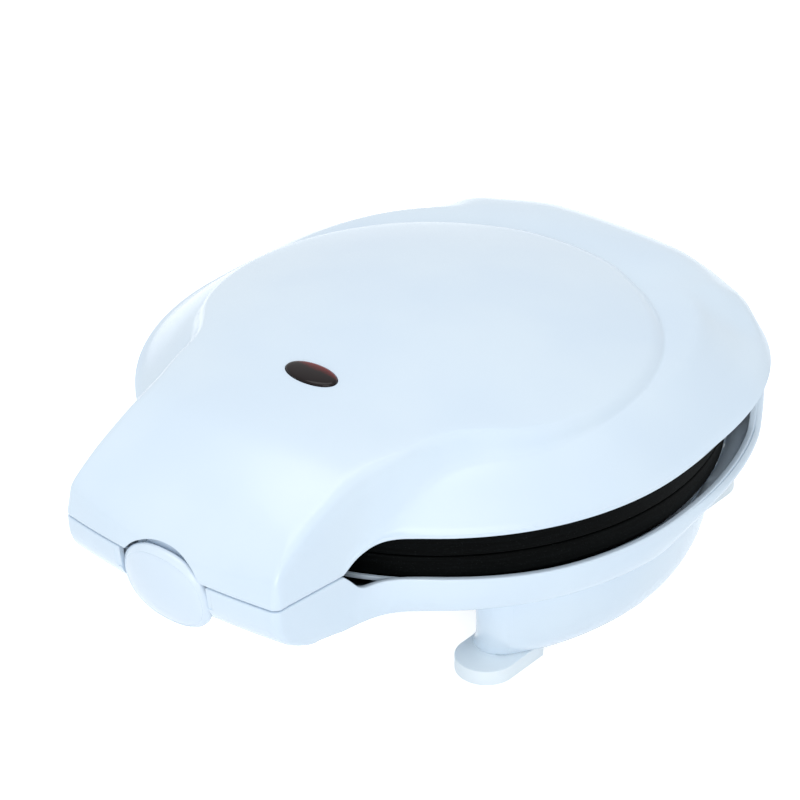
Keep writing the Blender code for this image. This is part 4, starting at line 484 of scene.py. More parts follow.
SHOULDER_REAR_SHARES = [
    (-1.0, -2.0), (0.0, 0.05), (0.04, 0.22), (0.08, 0.38), (0.20, 0.72), (0.47, 0.97),
    (0.94, 1.11), (1.37, 1.14), (5.0, 1.14),
]
SHOULDER_STATIONS = [(15.0, SHOULDER_SIDE_SHARES), (48.0, SHOULDER_QUARTER_SHARES),
                     (61.0, SHOULDER_HUMP_SHARES), (76.0, SHOULDER_REAR_SHARES)]
TUCK_END_DEGREES = 40.0
SWEEP_UP_SHARES = [(0.0, 0.0), (0.25, 0.45), (0.5, 0.75), (0.75, 0.93), (1.0, 1.0)]
DIP_SHARES = [(0.0, 0.0), (0.14, 0.34), (0.34, 0.90), (0.52, 1.05), (0.70, 1.02), (0.86, 1.0), (1.0, 1.0)]
BOWL_SHARES = [(0.50, 0.0), (0.62, 0.11), (0.74, 0.355), (0.86, 0.635), (0.98, 0.94)]

# %% [markdown]
# ## Smooth curves through a few points
# A table of a few measured points becomes a smooth curve that never overshoots.
# Sampling that curve densely is what turns a faceted solid into a moulded surface.


# %% Curves and blends
def follow(table, place):
    """A smooth monotone curve through a table of (place, value) pairs."""
    xs = [row[0] for row in table]
    ys = [row[1] for row in table]
    slopes = [(ys[i + 1] - ys[i]) / (xs[i + 1] - xs[i]) for i in range(len(xs) - 1)]
    place = min(max(place, xs[0]), xs[-1])
    i = next((k for k in range(len(slopes)) if place <= xs[k + 1]), len(slopes) - 1)
    span = xs[i + 1] - xs[i]

    def tangent(k):
        """Slope at a point: none where the curve turns, and never too steep."""
        if k == 0 or k == len(slopes):
            return slopes[0 if k == 0 else -1]
        before, after = slopes[k - 1], slopes[k]
        if before * after <= 0:
            return 0.0
        mean = (before + after) / 2
        return math.copysign(min(abs(mean), 3 * min(abs(before), abs(after))), mean)

    t = (place - xs[i]) / span
    return ((2 * t ** 3 - 3 * t ** 2 + 1) * ys[i] + (t ** 3 - 2 * t ** 2 + t) * span * tangent(i)
            + (3 * t ** 2 - 2 * t ** 3) * ys[i + 1] + (t ** 3 - t ** 2) * span * tangent(i + 1))


def ease(value, start, end):
    """From 0 at the start to 1 at the end, level at both."""
    t = min(max((value - start) / (end - start), 0.0), 1.0)
    return t * t * (3 - 2 * t)


def soft_max(a, b, width):
    """The larger of two heights, with a fillet where they meet."""
    h = max(width - abs(a - b), 0.0) / width
    return max(a, b) + h * h * width / 4


def bend_between(start, corner, end, count):
    """Points of a rounded corner, without its first one."""
    steps = [(k + 1) / count for k in range(count)]
    return [start * (1 - t) ** 2 + corner * 2 * t * (1 - t) + end * t ** 2 for t in steps]


print("middle of the lid's spine:", round(follow(SPINE_SHARES, -0.5), 3))

# %% [markdown]
# ## Outlines seen from above
# Every shell outline has the same parts in the same order: the bowed front, a small
# corner, the handle's side, the neck that scoops inwards, and the round body with
# its fuller rear.  Because each outline has as many points as the next, any two of
# them can be joined by a skin.

# %% Outlines
FRONT_POINTS = 10
CORNER_POINTS = 8
SIDE_POINTS = 20
NECK_POINTS = 22
ROUND_POINTS = 84
SCOOP_ANGLE = math.radians(-52.0)
SCOOP_CROWDING = 1.15


def body_radius(angle):
    """The widest outline: round in front, fuller behind."""
    if angle <= 0:
        return BODY_RADIUS
    across, along = abs(math.cos(angle)) / BODY_RADIUS, abs(math.sin(angle)) / REAR_REACH
    return (across ** REAR_POWER + along ** REAR_POWER) ** (-1 / REAR_POWER)


def tuck(angle):
    """How far the lid's lower edge is drawn in under its widest line at the rear."""
    return 1 - (1 - REAR_TUCK_SHARE) * ease(math.degrees(angle), 0.0, TUCK_END_DEGREES)


def round_angles():
    """Angles of the round body's points, closer together near the neck."""
    span = math.pi / 2 - SCOOP_ANGLE
    return [SCOOP_ANGLE + span * (i / ROUND_POINTS) ** SCOOP_CROWDING for i in range(ROUND_POINTS + 1)]


def side_run(shares, half_width, count, ends=0):
    """Points down a side, from shares of its reach and width; ends=1 adds the last point."""
    table = [(-share, width) for share, width in shares]
    first, last = shares[0][0], shares[-1][0]
    places = [first + (last - first) * i / count for i in range(count + ends)]
    return [(half_width * follow(table, -place), -HANDLE_REACH * place) for place in places]


def run_into(run, target):
    """Slide a run of points, more and more, so that its last one meets a target; drop that one."""
    slide = np.array(target) - run[-1]
    return [tuple(point + slide * ease(k, 0, len(run) - 1)) for k, point in enumerate(run[:-1])]


def outline(reach, front_half, corner, side, neck, radius_at, centre_y=0.0):
    """A closed outline of (x, y), from the front middle round the +X side and back."""
    straight = front_half - corner
    half = [(straight * i / FRONT_POINTS, -reach + HANDLE_BOW * (i / FRONT_POINTS) ** 2)
            for i in range(FRONT_POINTS)]
    for i in range(CORNER_POINTS):
        angle = math.pi / 2 * i / CORNER_POINTS
        half.append((straight + corner * math.sin(angle),
                     -reach + HANDLE_BOW + corner * (1 - math.cos(angle))))
    around = [(radius_at(a) * math.cos(a), centre_y + radius_at(a) * math.sin(a)) for a in round_angles()]
    half += side + run_into(neck, around[0]) + around
    half[-1] = (0.0, half[-1][1])
    return np.array(half + [(-x, y) for x, y in reversed(half[1:-1])])


def edge_outline(shrink=0.0):
    """The lid's lower edge, or the same line moved inwards."""
    width = HANDLE_HALF_WIDTH - shrink
    side = side_run(HANDLE_SIDE_SHARES, width, SIDE_POINTS)
    neck = side_run(NECK_SIDE_SHARES, width, NECK_POINTS, 1)
    return outline(HANDLE_REACH - shrink, width * HANDLE_SIDE_SHARES[0][1], HANDLE_CORNER - shrink,
                   side, neck, lambda angle: body_radius(angle) * tuck(angle) - shrink)


def crease_outline(shrink=0.0):
    """The edge of the raised panel, which runs on along the top of the handle."""
    width = CREASE_HALF_WIDTH - shrink
    side = side_run(CREASE_SIDE_SHARES, width, SIDE_POINTS)
    neck = side_run(CREASE_NECK_SHARES, width, NECK_POINTS, 1)
    corner = max(HANDLE_CORNER - (HANDLE_REACH - CREASE_REACH) - shrink, EDGE_ROUND)
    return outline(CREASE_REACH - shrink, width, corner, side, neck,
                   lambda angle: PANEL_RADIUS * follow(CREASE_ROUND_SHARES, math.degrees(angle)) - shrink,
                   PANEL_CENTRE_Y)


def rear_quarter(x, y):
    """1 over the base's two rear quarters, 0 in front of them and at the hinge."""
    return ease(y, QUARTER_START_Y, QUARTER_END_Y) * ease(abs(x), QUARTER_INNER_X, QUARTER_OUTER_X)


def floor_radius(angle):
    """Radius of the flange's lower edge, drawn in a little more over the rear quarters."""
    radius = body_radius(angle) * tuck(angle) - FLANGE_TAPER
    return radius - QUARTER_TAPER * rear_quarter(radius * math.cos(angle), radius * math.sin(angle))


def floor_outline(shrink=0.0):
    """The lower edge of the base's flange, with the handle's front drawn back."""
    width = HANDLE_HALF_WIDTH * HANDLE_FLOOR_HALF_SHARE - shrink
    first = HANDLE_SIDE_SHARES[0][0] * HANDLE_FLOOR_REACH / HANDLE_REACH
    shares = [(first, HANDLE_SIDE_SHARES[0][1]), (HANDLE_SIDE_SHARES[-1][0], HANDLE_SIDE_SHARES[-1][1])]
    side = side_run(shares, width, SIDE_POINTS)
    neck = side_run(NECK_SIDE_SHARES, width, NECK_POINTS, 1)
    return outline(HANDLE_FLOOR_REACH - shrink, width * HANDLE_SIDE_SHARES[0][1], HANDLE_CORNER - shrink,
                   side, neck, lambda angle: floor_radius(angle) - shrink)


def circle_like(radius):
    """A circle with as many points as an outline, in the same order."""
    front = FRONT_POINTS + CORNER_POINTS + SIDE_POINTS + NECK_POINTS
    angles = [-math.pi / 2 + (SCOOP_ANGLE + math.pi / 2) * i / front for i in range(front)]
    half = [(radius * math.cos(a), radius * math.sin(a)) for a in angles + round_angles()]
    half[0], half[-1] = (0.0, -radius), (0.0, radius)
    return np.array(half + [(-x, y) for x, y in reversed(half[1:-1])])


edge, crease, floor_edge = edge_outline(), crease_outline(), floor_outline()
tucks = np.array([[tuck(math.atan2(y, abs(x)))] for x, y in edge])
widest = edge / tucks
COUNT = len(edge)
print("points in an outline:", COUNT, "length:", round(edge[:, 1].max() - edge[:, 1].min(), 4))

# %% [markdown]
# ## Heights over the outlines
# The lid's edge sweeps up from the handle to the round body.  The base's rim does
# the reverse, stands a little higher in front, and leaves the black plates showing
# between them.  The top is one crowned surface; the shoulder lies lower and changes
# its section towards the rear.


# %% Heights
def sweep_share(y):
    """How far along the neck a point is, from the handle to the round body."""
    start, end = -HANDLE_REACH * NECK_SIDE_SHARES[0][0], -HANDLE_REACH * SWEEP_END_SHARE
    return min(max((y - start) / (end - start), 0.0), 1.0)


def lid_edge_z(y):
    """Height of the lid's lower edge, which sweeps up behind the handle."""
    return HANDLE_PART_Z + (LID_EDGE_Z - HANDLE_PART_Z) * follow(SWEEP_UP_SHARES, sweep_share(y))


def rim_z(x, y):
    """Top edge of the base: handle, open rim, raised rear and the dip at the hinge."""
    handle_top, rear_top = HANDLE_PART_Z - PART_GAP, LID_EDGE_Z - PART_GAP
    front_rim = RIM_Z + FRONT_RIM_RISE * (1 - ease(y, FRONT_RISE_START_Y, FRONT_RISE_END_Y))
    height = handle_top + (front_rim - handle_top) * follow(DIP_SHARES, sweep_share(y))
    height += (rear_top - RIM_Z) * ease(y, REAR_RISE_START_Y, REAR_RISE_END_Y)
    if y > 0:
        height += (HINGE_GAP_Z - rear_top) * (1 - ease(abs(x), HINGE_DIP_INNER, HINGE_DIP_OUTER))
    return height


def panel_z(x, y):
    """Height of the crowned panel, highest along its spine."""
    place = y / HANDLE_REACH
    spine = HANDLE_PART_Z + (TOP_Z - HANDLE_PART_Z) * follow(SPINE_SHARES, place)
    return spine - PANEL_CROWN * follow(CROWN_SHARES, place) * (x / PANEL_RADIUS) ** 2


def shoulder_z(x, y):
    """Height of the shoulder, whose section changes towards the rear."""
    angle = math.atan2(y, abs(x))
    radius = math.hypot(x, y) / body_radius(angle) * BODY_RADIUS
    place = (BODY_RADIUS - radius) / (BODY_RADIUS - PANEL_RADIUS - LIP_HEIGHT)
    share = follow(SHOULDER_SIDE_SHARES, place)
    for (start, _), (end, table) in zip(SHOULDER_STATIONS, SHOULDER_STATIONS[1:]):
        share += (follow(table, place) - share) * ease(math.degrees(angle), start, end)
    return LID_EDGE_Z + (SHOULDER_FOOT_Z - LID_EDGE_Z) * share


print("crown:", round(panel_z(0, PANEL_FOCUS_Y), 4), "shoulder:", round(shoulder_z(0.1, 0), 4))

# %% [markdown]
# ## Skins
# A shell is a stack of rings with a skin between them.  The rings run from the
# hollow side's middle, down over the lip and up the outside, so the wall closes on
# itself at the edge, as a real moulding's does.


# %% Skin, smooth, cut and join
def skin(name, rings, material):
    """Join rings of (x, y, z) by quads and close the first and the last."""
    mesh = bpy.data.meshes.new(name)
    points = np.array(rings, float)
    points[:, :, 1] += CENTRE_Y
    count = points.shape[1]
    faces = []
    for row in range(points.shape[0] - 1):
        for i in range(count):
            j = (i + 1) % count
            faces.append((row * count + i, row * count + j, (row + 1) * count + j, (row + 1) * count + i))
    faces.append(tuple(range(count))[::-1])
    faces.append(tuple(range((points.shape[0] - 1) * count, points.shape[0] * count)))
    mesh.from_pydata(points.reshape(-1, 3).tolist(), [], faces)
    return place_mesh(name, mesh, material)


def place_mesh(name, mesh, material):
    """Turn every face outwards and make the mesh an object."""
    bm = bmesh.new()
    bm.from_mesh(mesh)
    bmesh.ops.recalc_face_normals(bm, faces=bm.faces)
    bm.to_mesh(mesh)
    bm.free()
    piece = bpy.data.objects.new(name, mesh)
    scene.collection.objects.link(piece)
    mesh.materials.append(material)
    return piece


def soften(piece, degrees=30.0):
    """Smooth the shading, except at corners over so many degrees."""
    piece.data.shade_smooth()
    piece.data.set_sharp_from_angle(angle=math.radians(degrees))
    return piece


def settle(piece):
    """Replace a piece's mesh by what its modifiers make of it."""
    graph = bpy.context.evaluated_depsgraph_get()
    made = bpy.data.meshes.new_from_object(piece.evaluated_get(graph))
    made.name = piece.name
    piece.modifiers.clear()
    piece.data = made
    return piece


def combine(piece, tools, operation):
    """Cut tools out of a piece, or join them to it, and drop the tools."""
    group = bpy.data.collections.new("tools")
    for tool in tools:
        group.objects.link(tool)
    step = piece.modifiers.new(operation.lower(), "BOOLEAN")
    step.operation = operation
    step.operand_type = "COLLECTION"
    step.collection = group
    step.solver = "EXACT"
    settle(piece)
    for tool in tools:
        bpy.data.objects.remove(tool, do_unlink=True)
    bpy.data.collections.remove(group)
    return piece


def rounded(piece, width, segments=3, degrees=35.0):
    """Round the corners of a piece by a bevel."""
    step = piece.modifiers.new("round", "BEVEL")
    step.width = width
    step.segments = segments
    step.limit_method = "ANGLE"
    step.angle_limit = math.radians(degrees)
    return settle(piece)


def block(name, low, high, material=None):
    """A box between two corners, given from the middle of the round body."""
    bm = bmesh.new()
    bmesh.ops.create_cube(bm, size=1)
    low, high = Vector(low), Vector(high)
    bmesh.ops.scale(bm, vec=high - low, verts=bm.verts)
    bmesh.ops.translate(bm, vec=(low + high) / 2 + Vector((0, CENTRE_Y, 0)), verts=bm.verts)
    return from_bmesh(name, bm, material)


def rod(name, start, end, radius, steps=48, end_radius=None, material=None):
    """A cylinder or cone between two points, given from the middle of the round body."""
    start, end = Vector(start), Vector(end)
    bm = bmesh.new()
    bmesh.ops.create_cone(bm, cap_ends=True, segments=steps, radius1=radius,
                          radius2=radius if end_radius is None else end_radius, depth=(end - start).length)
    lean = Vector((0, 0, 1)).rotation_difference((end - start).normalized()).to_matrix().to_4x4()
    middle = (start + end) / 2 + Vector((0, CENTRE_Y, 0))
    bmesh.ops.transform(bm, matrix=Matrix.Translation(middle) @ lean, verts=bm.verts)
    return from_bmesh(name, bm, material)


def ring_skin(name, rings, frame, material):
    """Join oval rings of (x, y, z) by quads, close both ends and set them in a frame."""
    bm = bmesh.new()
    rows = [[bm.verts.new(point) for point in ring] for ring in rings]
    for lower, upper in zip(rows, rows[1:]):
        for k in range(len(lower)):
            after = (k + 1) % len(lower)
            bm.faces.new((lower[k], lower[after], upper[after], upper[k]))
    bm.faces.new(rows[0])
    bm.faces.new(rows[-1])
    bmesh.ops.transform(bm, matrix=frame, verts=bm.verts)
    bmesh.ops.recalc_face_normals(bm, faces=bm.faces)
    return from_bmesh(name, bm, material)


def from_bmesh(name, bm, material=None):
    """Turn a bmesh into an object, with its material if it has one."""
    mesh = bpy.data.meshes.new(name)
    bm.to_mesh(mesh)
    bm.free()
    piece = bpy.data.objects.new(name, mesh)
    scene.collection.objects.link(piece)
    if material is not None:
        mesh.materials.append(material)
    return piece


# %% [markdown]
# ## The lid's section
# From its lower lip the lid's wall climbs to the crease, turns over it and runs
# across the crowned panel.  On the real moulding the turn is wide along the handle
# and tight round the panel, so the bend starts and stops at shares that change
# along the neck.

# %% Points of the lid's outside
WALL_RINGS = 22
CREASE_RINGS = 7
PANEL_RINGS = 22
CAP_SHARE = 0.03
CROWDING = 1.5
WALL_STOP_SHARES = (0.72, 0.93)
PANEL_START_SHARES = (0.93, 0.97)
FOCUS = np.array((0.0, PANEL_FOCUS_Y))
sweeps = [sweep_share(y) for x, y in edge]
lip_heights = np.array([lid_edge_z(y) for x, y in edge])


def is_handle(i):
    """True for the points along the handle's front and sides."""
    front = FRONT_POINTS + CORNER_POINTS + SIDE_POINTS
    return i <= front or i >= COUNT - front


def wall_point(i, share):
    """A point of the lid's wall, from its widest line (0) to the crease (1)."""
    x, y = widest[i] + (crease[i] - widest[i]) * share
    low = lip_heights[i] + LIP_HEIGHT
    high = panel_z(*crease[i]) - CREASE_DROP
    bend = WALL_BEND_TONGUE + (WALL_BEND_ROUND - WALL_BEND_TONGUE) * sweeps[i]
    height = low + (high - low) * share ** bend
    if not is_handle(i):
        height = soft_max(height, shoulder_z(x, y), CREASE_DROP * 2)
    return np.array((x, y, max(height, low + LIP_HEIGHT * share)))


def panel_point(i, share, plan=crease):
    """A point of the panel, from its middle (0) to the crease (1)."""
    x, y = FOCUS + (plan[i] - FOCUS) * share
    return np.array((x, y, panel_z(x, y)))


def between(pair, share):
    """A value on the way from the first of a pair to the second."""
    return pair[0] + (pair[1] - pair[0]) * share


def lip(outline_at, heights, way):
    """Rings over a wall's bare edge, from its inner face to its outer face."""
    def at(shrink, rise):
        return np.column_stack((outline_at(shrink), heights + way * rise))

    deep, near = SHELL_WALL - EDGE_ROUND, EDGE_ROUND
    inner = bend_between(at(SHELL_WALL, near), at(SHELL_WALL, 0), at(deep, 0), 3)
    outer = bend_between(at(near, 0), at(0, 0), at(0, near), 3)
    return [at(SHELL_WALL, near)] + inner + [at(near, 0)] + outer


# %% Rings of the lid, inside and outside
def lid_outside():
    """Columns from the widest line to the middle of the panel, turned into rings."""
    columns = []
    for i in range(COUNT):
        stop, start = between(WALL_STOP_SHARES, sweeps[i]), between(PANEL_START_SHARES, sweeps[i])
        steps = [1 - (1 - k / WALL_RINGS) ** CROWDING for k in range(WALL_RINGS + 1)]
        column = [wall_point(i, stop * step) for step in steps]
        corner = np.array((*crease[i], panel_z(*crease[i])))
        column += bend_between(column[-1], corner, panel_point(i, start), CREASE_RINGS)
        falls = [start * (1 - k / PANEL_RINGS) + CAP_SHARE * k / PANEL_RINGS
                 for k in range(1, PANEL_RINGS + 1)]
        column += [panel_point(i, fall) for fall in falls]
        columns.append(column)
    return list(np.array(columns).transpose(1, 0, 2))


def lid_inside():
    """The hollow side, from the middle of the panel out and down to the lip."""
    inner_crease, inner_widest = crease_outline(SHELL_WALL), edge_outline(SHELL_WALL) / tucks
    drop = np.array((0.0, 0.0, SHELL_WALL))
    rings = []
    for share in (CAP_SHARE, 0.15, 0.30, 0.45, 0.60, 0.75, 0.88):
        rings.append([panel_point(i, share, inner_crease) - drop for i in range(COUNT)])
    for share in (0.82, 0.66, 0.50, 0.34, 0.18, 0.06):
        plan = inner_widest + (inner_crease - inner_widest) * share
        rings.append([(*plan[i], wall_point(i, share)[2] - SHELL_WALL * share) for i in range(COUNT)])
    return rings


lid_shell = skin("lid_moulding", lid_inside() + lip(edge_outline, lip_heights, 1) + lid_outside(), abs_shell)
print("lid skin:", len(lid_shell.data.polygons), "faces")

# %% [markdown]
# ## Cuts and bosses of the lid
# The moulding has an arched notch for the latch, a window for the lens, a round
# knuckle for the hinge with a chamber for the leads, and screw posts.  They are made
# as separate tools and joined or cut by Booleans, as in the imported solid.

# %% Sizes of the cuts
FIT_GAP = 0.0003
# how far a cutter runs on past what it cuts
OVERRUN = 0.001
PLATE_PART_Z = 0.0570
PLATE_LAND = 0.0035
HINGE_Y = REAR_REACH - 0.0075
HINGE_Z = LID_EDGE_Z
DRUM_RADIUS = 0.0065
DRUM_HALF = 0.0340
LUG_RADIUS = 0.0060
LUG_THICK = 0.0075
LUG_GAP = 0.0004
CHAMBER_HALF = 0.0225
CHAMBER_REAR = 0.0048
CHAMBER_TOP = 0.0042
PIN_RADIUS = 0.0020
PIN_REACH_IN = 0.0090
SQUARE_SIDE = 0.1262
BLOCK_WALL = 0.0065
SCREW_CIRCLE = SQUARE_SIDE / 2 + BLOCK_WALL + 0.0165
SCREW_RADIUS = 0.0015
SCREW_LENGTH = 0.014
POST_RADIUS = 0.0045
FINE_STEPS = 96
CREASE_DEGREES = 46.0

LATCH_HALF_WIDTH = 0.0190
LATCH_POWER = 2.25
LATCH_TOP_Z = 0.0640
LATCH_BOTTOM_Z = 0.0337
LATCH_PROUD = 0.0026
LATCH_LEAN = math.radians(9.0)
LATCH_DOME = 0.0050
LATCH_THICK = 0.0022
LATCH_FULLNESS = 0.6
LATCH_PIVOT_Y = 0.0074 - HANDLE_REACH
LATCH_PIVOT_Z = HANDLE_PART_Z + 0.0026
LATCH_KNUCKLE_RADIUS = 0.0026
LATCH_KNUCKLE_HALF = 0.0105
LATCH_EAR = 0.0035
LATCH_PIN_RADIUS = 0.0012
NOTCH_SIDE_GAP = 0.0005
NOTCH_TOP_GAP = 0.0013
NOTCH_FRONT = 0.009
NOTCH_DEPTH = 0.0075
SCOOP_ASIDE = 0.0008
SCOOP_AHEAD = 0.0036
SCOOP_RADIUS = 0.0024
NOTCH_WALL_HALF = 0.0165
NOTCH_WALL_FRONT = 0.1401
NOTCH_WALL_THICK = 0.0020
NOTCH_WALL_LOW_Z = 0.0624
NOTCH_WALL_HIGH_Z = 0.0660

LENS_Y = 0.0145 - PANEL_RADIUS
LENS_HALF_LENGTH = 0.0107
LENS_HALF_WIDTH = 0.0053
LENS_DEPTH = 0.0055
LENS_FLANGE = 0.0018
LENS_TILT = math.radians(6.0)

# %% Place of the latch
latch_half_height = (LATCH_TOP_Z - LATCH_BOTTOM_Z) / 2 / math.cos(LATCH_LEAN)
rims = np.linspace(0, 1, 200)
leading = (LATCH_DOME * math.cos(LATCH_LEAN) * np.sqrt(1 - rims ** 2)
           + rims ** LATCH_FULLNESS * latch_half_height * math.sin(LATCH_LEAN)).max()
latch_centre = Vector((0, leading - HANDLE_REACH - LATCH_PROUD, (LATCH_TOP_Z + LATCH_BOTTOM_Z) / 2))
latch_frame = (Matrix.Translation(latch_centre + Vector((0, CENTRE_Y, 0)))
               @ Matrix.Rotation(LATCH_LEAN, 4, "X"))
recess = LATCH_THICK + NOTCH_SIDE_GAP
channel_half = LATCH_HALF_WIDTH + NOTCH_SIDE_GAP
print("latch centre", tuple(round(v, 4) for v in latch_centre))


# %% Tools for the lid
def fuller(angle, power):
    """A point of a unit oval; a power over 2 fills its shoulders out."""
    across, along = math.cos(angle), math.sin(angle)
    return tuple(math.copysign(abs(v) ** (2 / power), v) for v in (across, along))


def prism(name, half_x, half_y, low, high, frame, power=2.0):
    """An oval prism along the Z axis of its own frame."""
    bm = bmesh.new()
    bmesh.ops.create_cone(bm, cap_ends=True, segments=FINE_STEPS, radius1=1, radius2=1, depth=1)
    for vert in bm.verts:
        vert.co.xy = fuller(math.atan2(vert.co.y, vert.co.x), power)
    bmesh.ops.scale(bm, vec=(half_x, half_y, high - low), verts=bm.verts)
    bmesh.ops.translate(bm, vec=(0, 0, (low + high) / 2), verts=bm.verts)
    bmesh.ops.transform(bm, matrix=frame, verts=bm.verts)
    return from_bmesh(name, bm)


def latch_prism(name, front, back):
    """The latch's own oval with room round it, cut along the latch's depth."""
    depth = Matrix.Rotation(math.pi / 2, 4, "X")
    return prism(name, LATCH_HALF_WIDTH + NOTCH_SIDE_GAP, latch_half_height + NOTCH_TOP_GAP,
                 -back, front, latch_frame @ depth, LATCH_POWER)


def pin_space(side):
    """The bore that a hinge pin fits, through a lug and into the knuckle."""
    start = side * (DRUM_HALF - PIN_REACH_IN - FIT_GAP)
    end = side * (DRUM_HALF + LUG_THICK + 4 * LUG_GAP)
    return rod("pin_space", (start, HINGE_Y, HINGE_Z), (end, HINGE_Y, HINGE_Z), PIN_RADIUS + FIT_GAP)


screw_places = [(SCREW_CIRCLE * math.cos(n * math.pi / 2), SCREW_CIRCLE * math.sin(n * math.pi / 2))
                for n in range(4)]
lens_frame = (Matrix.Translation(Vector((0, LENS_Y + CENTRE_Y, panel_z(0, LENS_Y))))
              @ Matrix.Rotation(LENS_TILT, 4, "X"))
post_low = PLATE_PART_Z + FIT_GAP / 2 + PLATE_LAND + FIT_GAP
notch_walls = [((-NOTCH_WALL_HALF, -NOTCH_WALL_FRONT, NOTCH_WALL_LOW_Z),
                (NOTCH_WALL_HALF, NOTCH_WALL_THICK - NOTCH_WALL_FRONT, NOTCH_WALL_HIGH_Z))]
for side in (1, -1):
    near, far = sorted((side * (LATCH_KNUCKLE_HALF + FIT_GAP + LATCH_EAR),
                        side * (channel_half + SHELL_WALL)))
    notch_walls.append(((near, NOTCH_WALL_THICK - NOTCH_WALL_FRONT, HANDLE_PART_Z + PART_GAP),
                        (far, 2 * NOTCH_WALL_THICK - NOTCH_WALL_FRONT, NOTCH_WALL_HIGH_Z)))
bosses = [rod("drum", (-DRUM_HALF, HINGE_Y, HINGE_Z), (DRUM_HALF, HINGE_Y, HINGE_Z), DRUM_RADIUS, FINE_STEPS)]
for x, y in screw_places:
    outward = 1 + POST_RADIUS / SCREW_CIRCLE
    post_high = min(panel_z(x * outward, y * outward), shoulder_z(x * outward, y * outward)) - SHELL_WALL / 3
    bosses.append(rod("post", (x, y, post_low), (x, y, post_high), POST_RADIUS))
ear_near, ear_far = LATCH_KNUCKLE_HALF + FIT_GAP, LATCH_KNUCKLE_HALF + FIT_GAP + LATCH_EAR
ear_top = panel_z(0, LATCH_PIVOT_Y - LATCH_KNUCKLE_RADIUS) - SHELL_WALL
for side in (1, -1):
    near, far = sorted((side * ear_near, side * ear_far))
    ear_low = (near, LATCH_PIVOT_Y - LATCH_KNUCKLE_RADIUS, LATCH_PIVOT_Z - LATCH_KNUCKLE_RADIUS)
    bosses.append(block("ear", ear_low, (far, LATCH_PIVOT_Y + 2 * LATCH_KNUCKLE_RADIUS, ear_top)))
for low, high in notch_walls:
    bosses.append(block("notch_wall", low, high))

chamber_low = (-CHAMBER_HALF, HINGE_Y - DRUM_RADIUS - OVERRUN, HINGE_Z - DRUM_RADIUS - OVERRUN)
holes = [block("chamber", chamber_low, (CHAMBER_HALF, HINGE_Y + CHAMBER_REAR, HINGE_Z + CHAMBER_TOP))]
slot_reach = LUG_RADIUS + LUG_GAP * 2
for side in (1, -1):
    near, far = sorted((side * DRUM_HALF, side * (DRUM_HALF + LUG_THICK + 2 * LUG_GAP)))
    holes.append(block("lug_slot", (near, HINGE_Y - slot_reach, HINGE_Z - slot_reach),
                       (far, REAR_REACH + OVERRUN, HINGE_Z + slot_reach)))
    holes.append(pin_space(side))
holes.append(prism("window", LENS_HALF_LENGTH + FIT_GAP, LENS_HALF_WIDTH + FIT_GAP,
                   -2 * LENS_DEPTH, LENS_DEPTH, lens_frame))
pin_half = LATCH_KNUCKLE_HALF + LATCH_EAR + OVERRUN
holes.append(rod("latch_pin_space", (-pin_half, LATCH_PIVOT_Y, LATCH_PIVOT_Z),
                 (pin_half, LATCH_PIVOT_Y, LATCH_PIVOT_Z), LATCH_PIN_RADIUS + FIT_GAP))
holes += [rod("screw_space", (x, y, PLATE_PART_Z), (x, y, PLATE_PART_Z + SCREW_LENGTH + 2 * FIT_GAP),
              SCREW_RADIUS + FIT_GAP) for x, y in screw_places]

combine(lid_shell, [latch_prism("notch", NOTCH_FRONT, NOTCH_DEPTH)], "DIFFERENCE")
combine(lid_shell, bosses, "UNION")
combine(lid_shell, holes, "DIFFERENCE")
soften(lid_shell, CREASE_DEGREES)
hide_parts("lid_shell")
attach(lid_shell, "lid")
print("lid moulding:", len(lid_shell.data.polygons), "faces")

# %% [markdown]
# ## The base's section
# The base is a shallow bowl with an outer flange.  Along the handle the flange
# leans far in below the latch, and round the body it drops almost straight.  Over
# the two rear quarters its lower edge climbs and draws in, and its wall bulges a
# little.  Two curved side walls with round columns at their ends stand on the feet.

# %% Points of the base
FLANGE_RINGS = 16
FLANGE_STOP_SHARE = 0.93
FLOOR_ROUND = 0.0014
BOWL_RINGS = 14
rim_heights = np.array([rim_z(x, y) for x, y in edge])
quarters = np.array([[rear_quarter(x, y)] for x, y in edge])
floor_heights = HANDLE_FLOOR_Z + (LEDGE_Z - HANDLE_FLOOR_Z) * np.array(sweeps) + QUARTER_RISE * quarters[:, 0]


def flange_ring(share, shrink=0.0, rise=0.0):
    """A ring of the flange, from the rim (0) to its lower edge (1)."""
    upper, lower = edge_outline(shrink), floor_outline(shrink)
    bulge = QUARTER_BULGE * 4 * share * (1 - share) * quarters
    plan = (upper + (lower - upper) * share ** FLANGE_BEND) * (1 + bulge / BODY_RADIUS)
    return np.column_stack((plan, rim_heights + (floor_heights + rise - rim_heights) * share))


def under_ring():
    """The flat underside just inside the flange's lower edge."""
    plan = circle_like(LEDGE_RADIUS)
    for i in range(COUNT):
        reach = HANDLE_FLOOR_INNER_Y + (LEDGE_RADIUS - HANDLE_FLOOR_INNER_Y) * sweeps[i]
        plan[i] *= reach / LEDGE_RADIUS if plan[i][1] < 0 else 1.0
    return np.column_stack((plan, floor_heights))


def bowl_rings(thinner=0.0, rise=0.0):
    """Rings of the bowl, from its widest to the middle of its floor."""
    rings = []
    widest_share, flat_share = BOWL_SHARES[-1][0], BOWL_SHARES[0][0]
    shares = [widest_share + (flat_share - widest_share) * k / BOWL_RINGS for k in range(BOWL_RINGS + 1)]
    for share in shares + [flat_share / 2, CAP_SHARE]:
        height = BOWL_Z + (LEDGE_Z - BOWL_Z) * follow(BOWL_SHARES, share) + rise
        plan = circle_like(BOWL_UNIT * share - thinner)
        rings.append(np.column_stack((plan, np.full(COUNT, height))))
    return rings


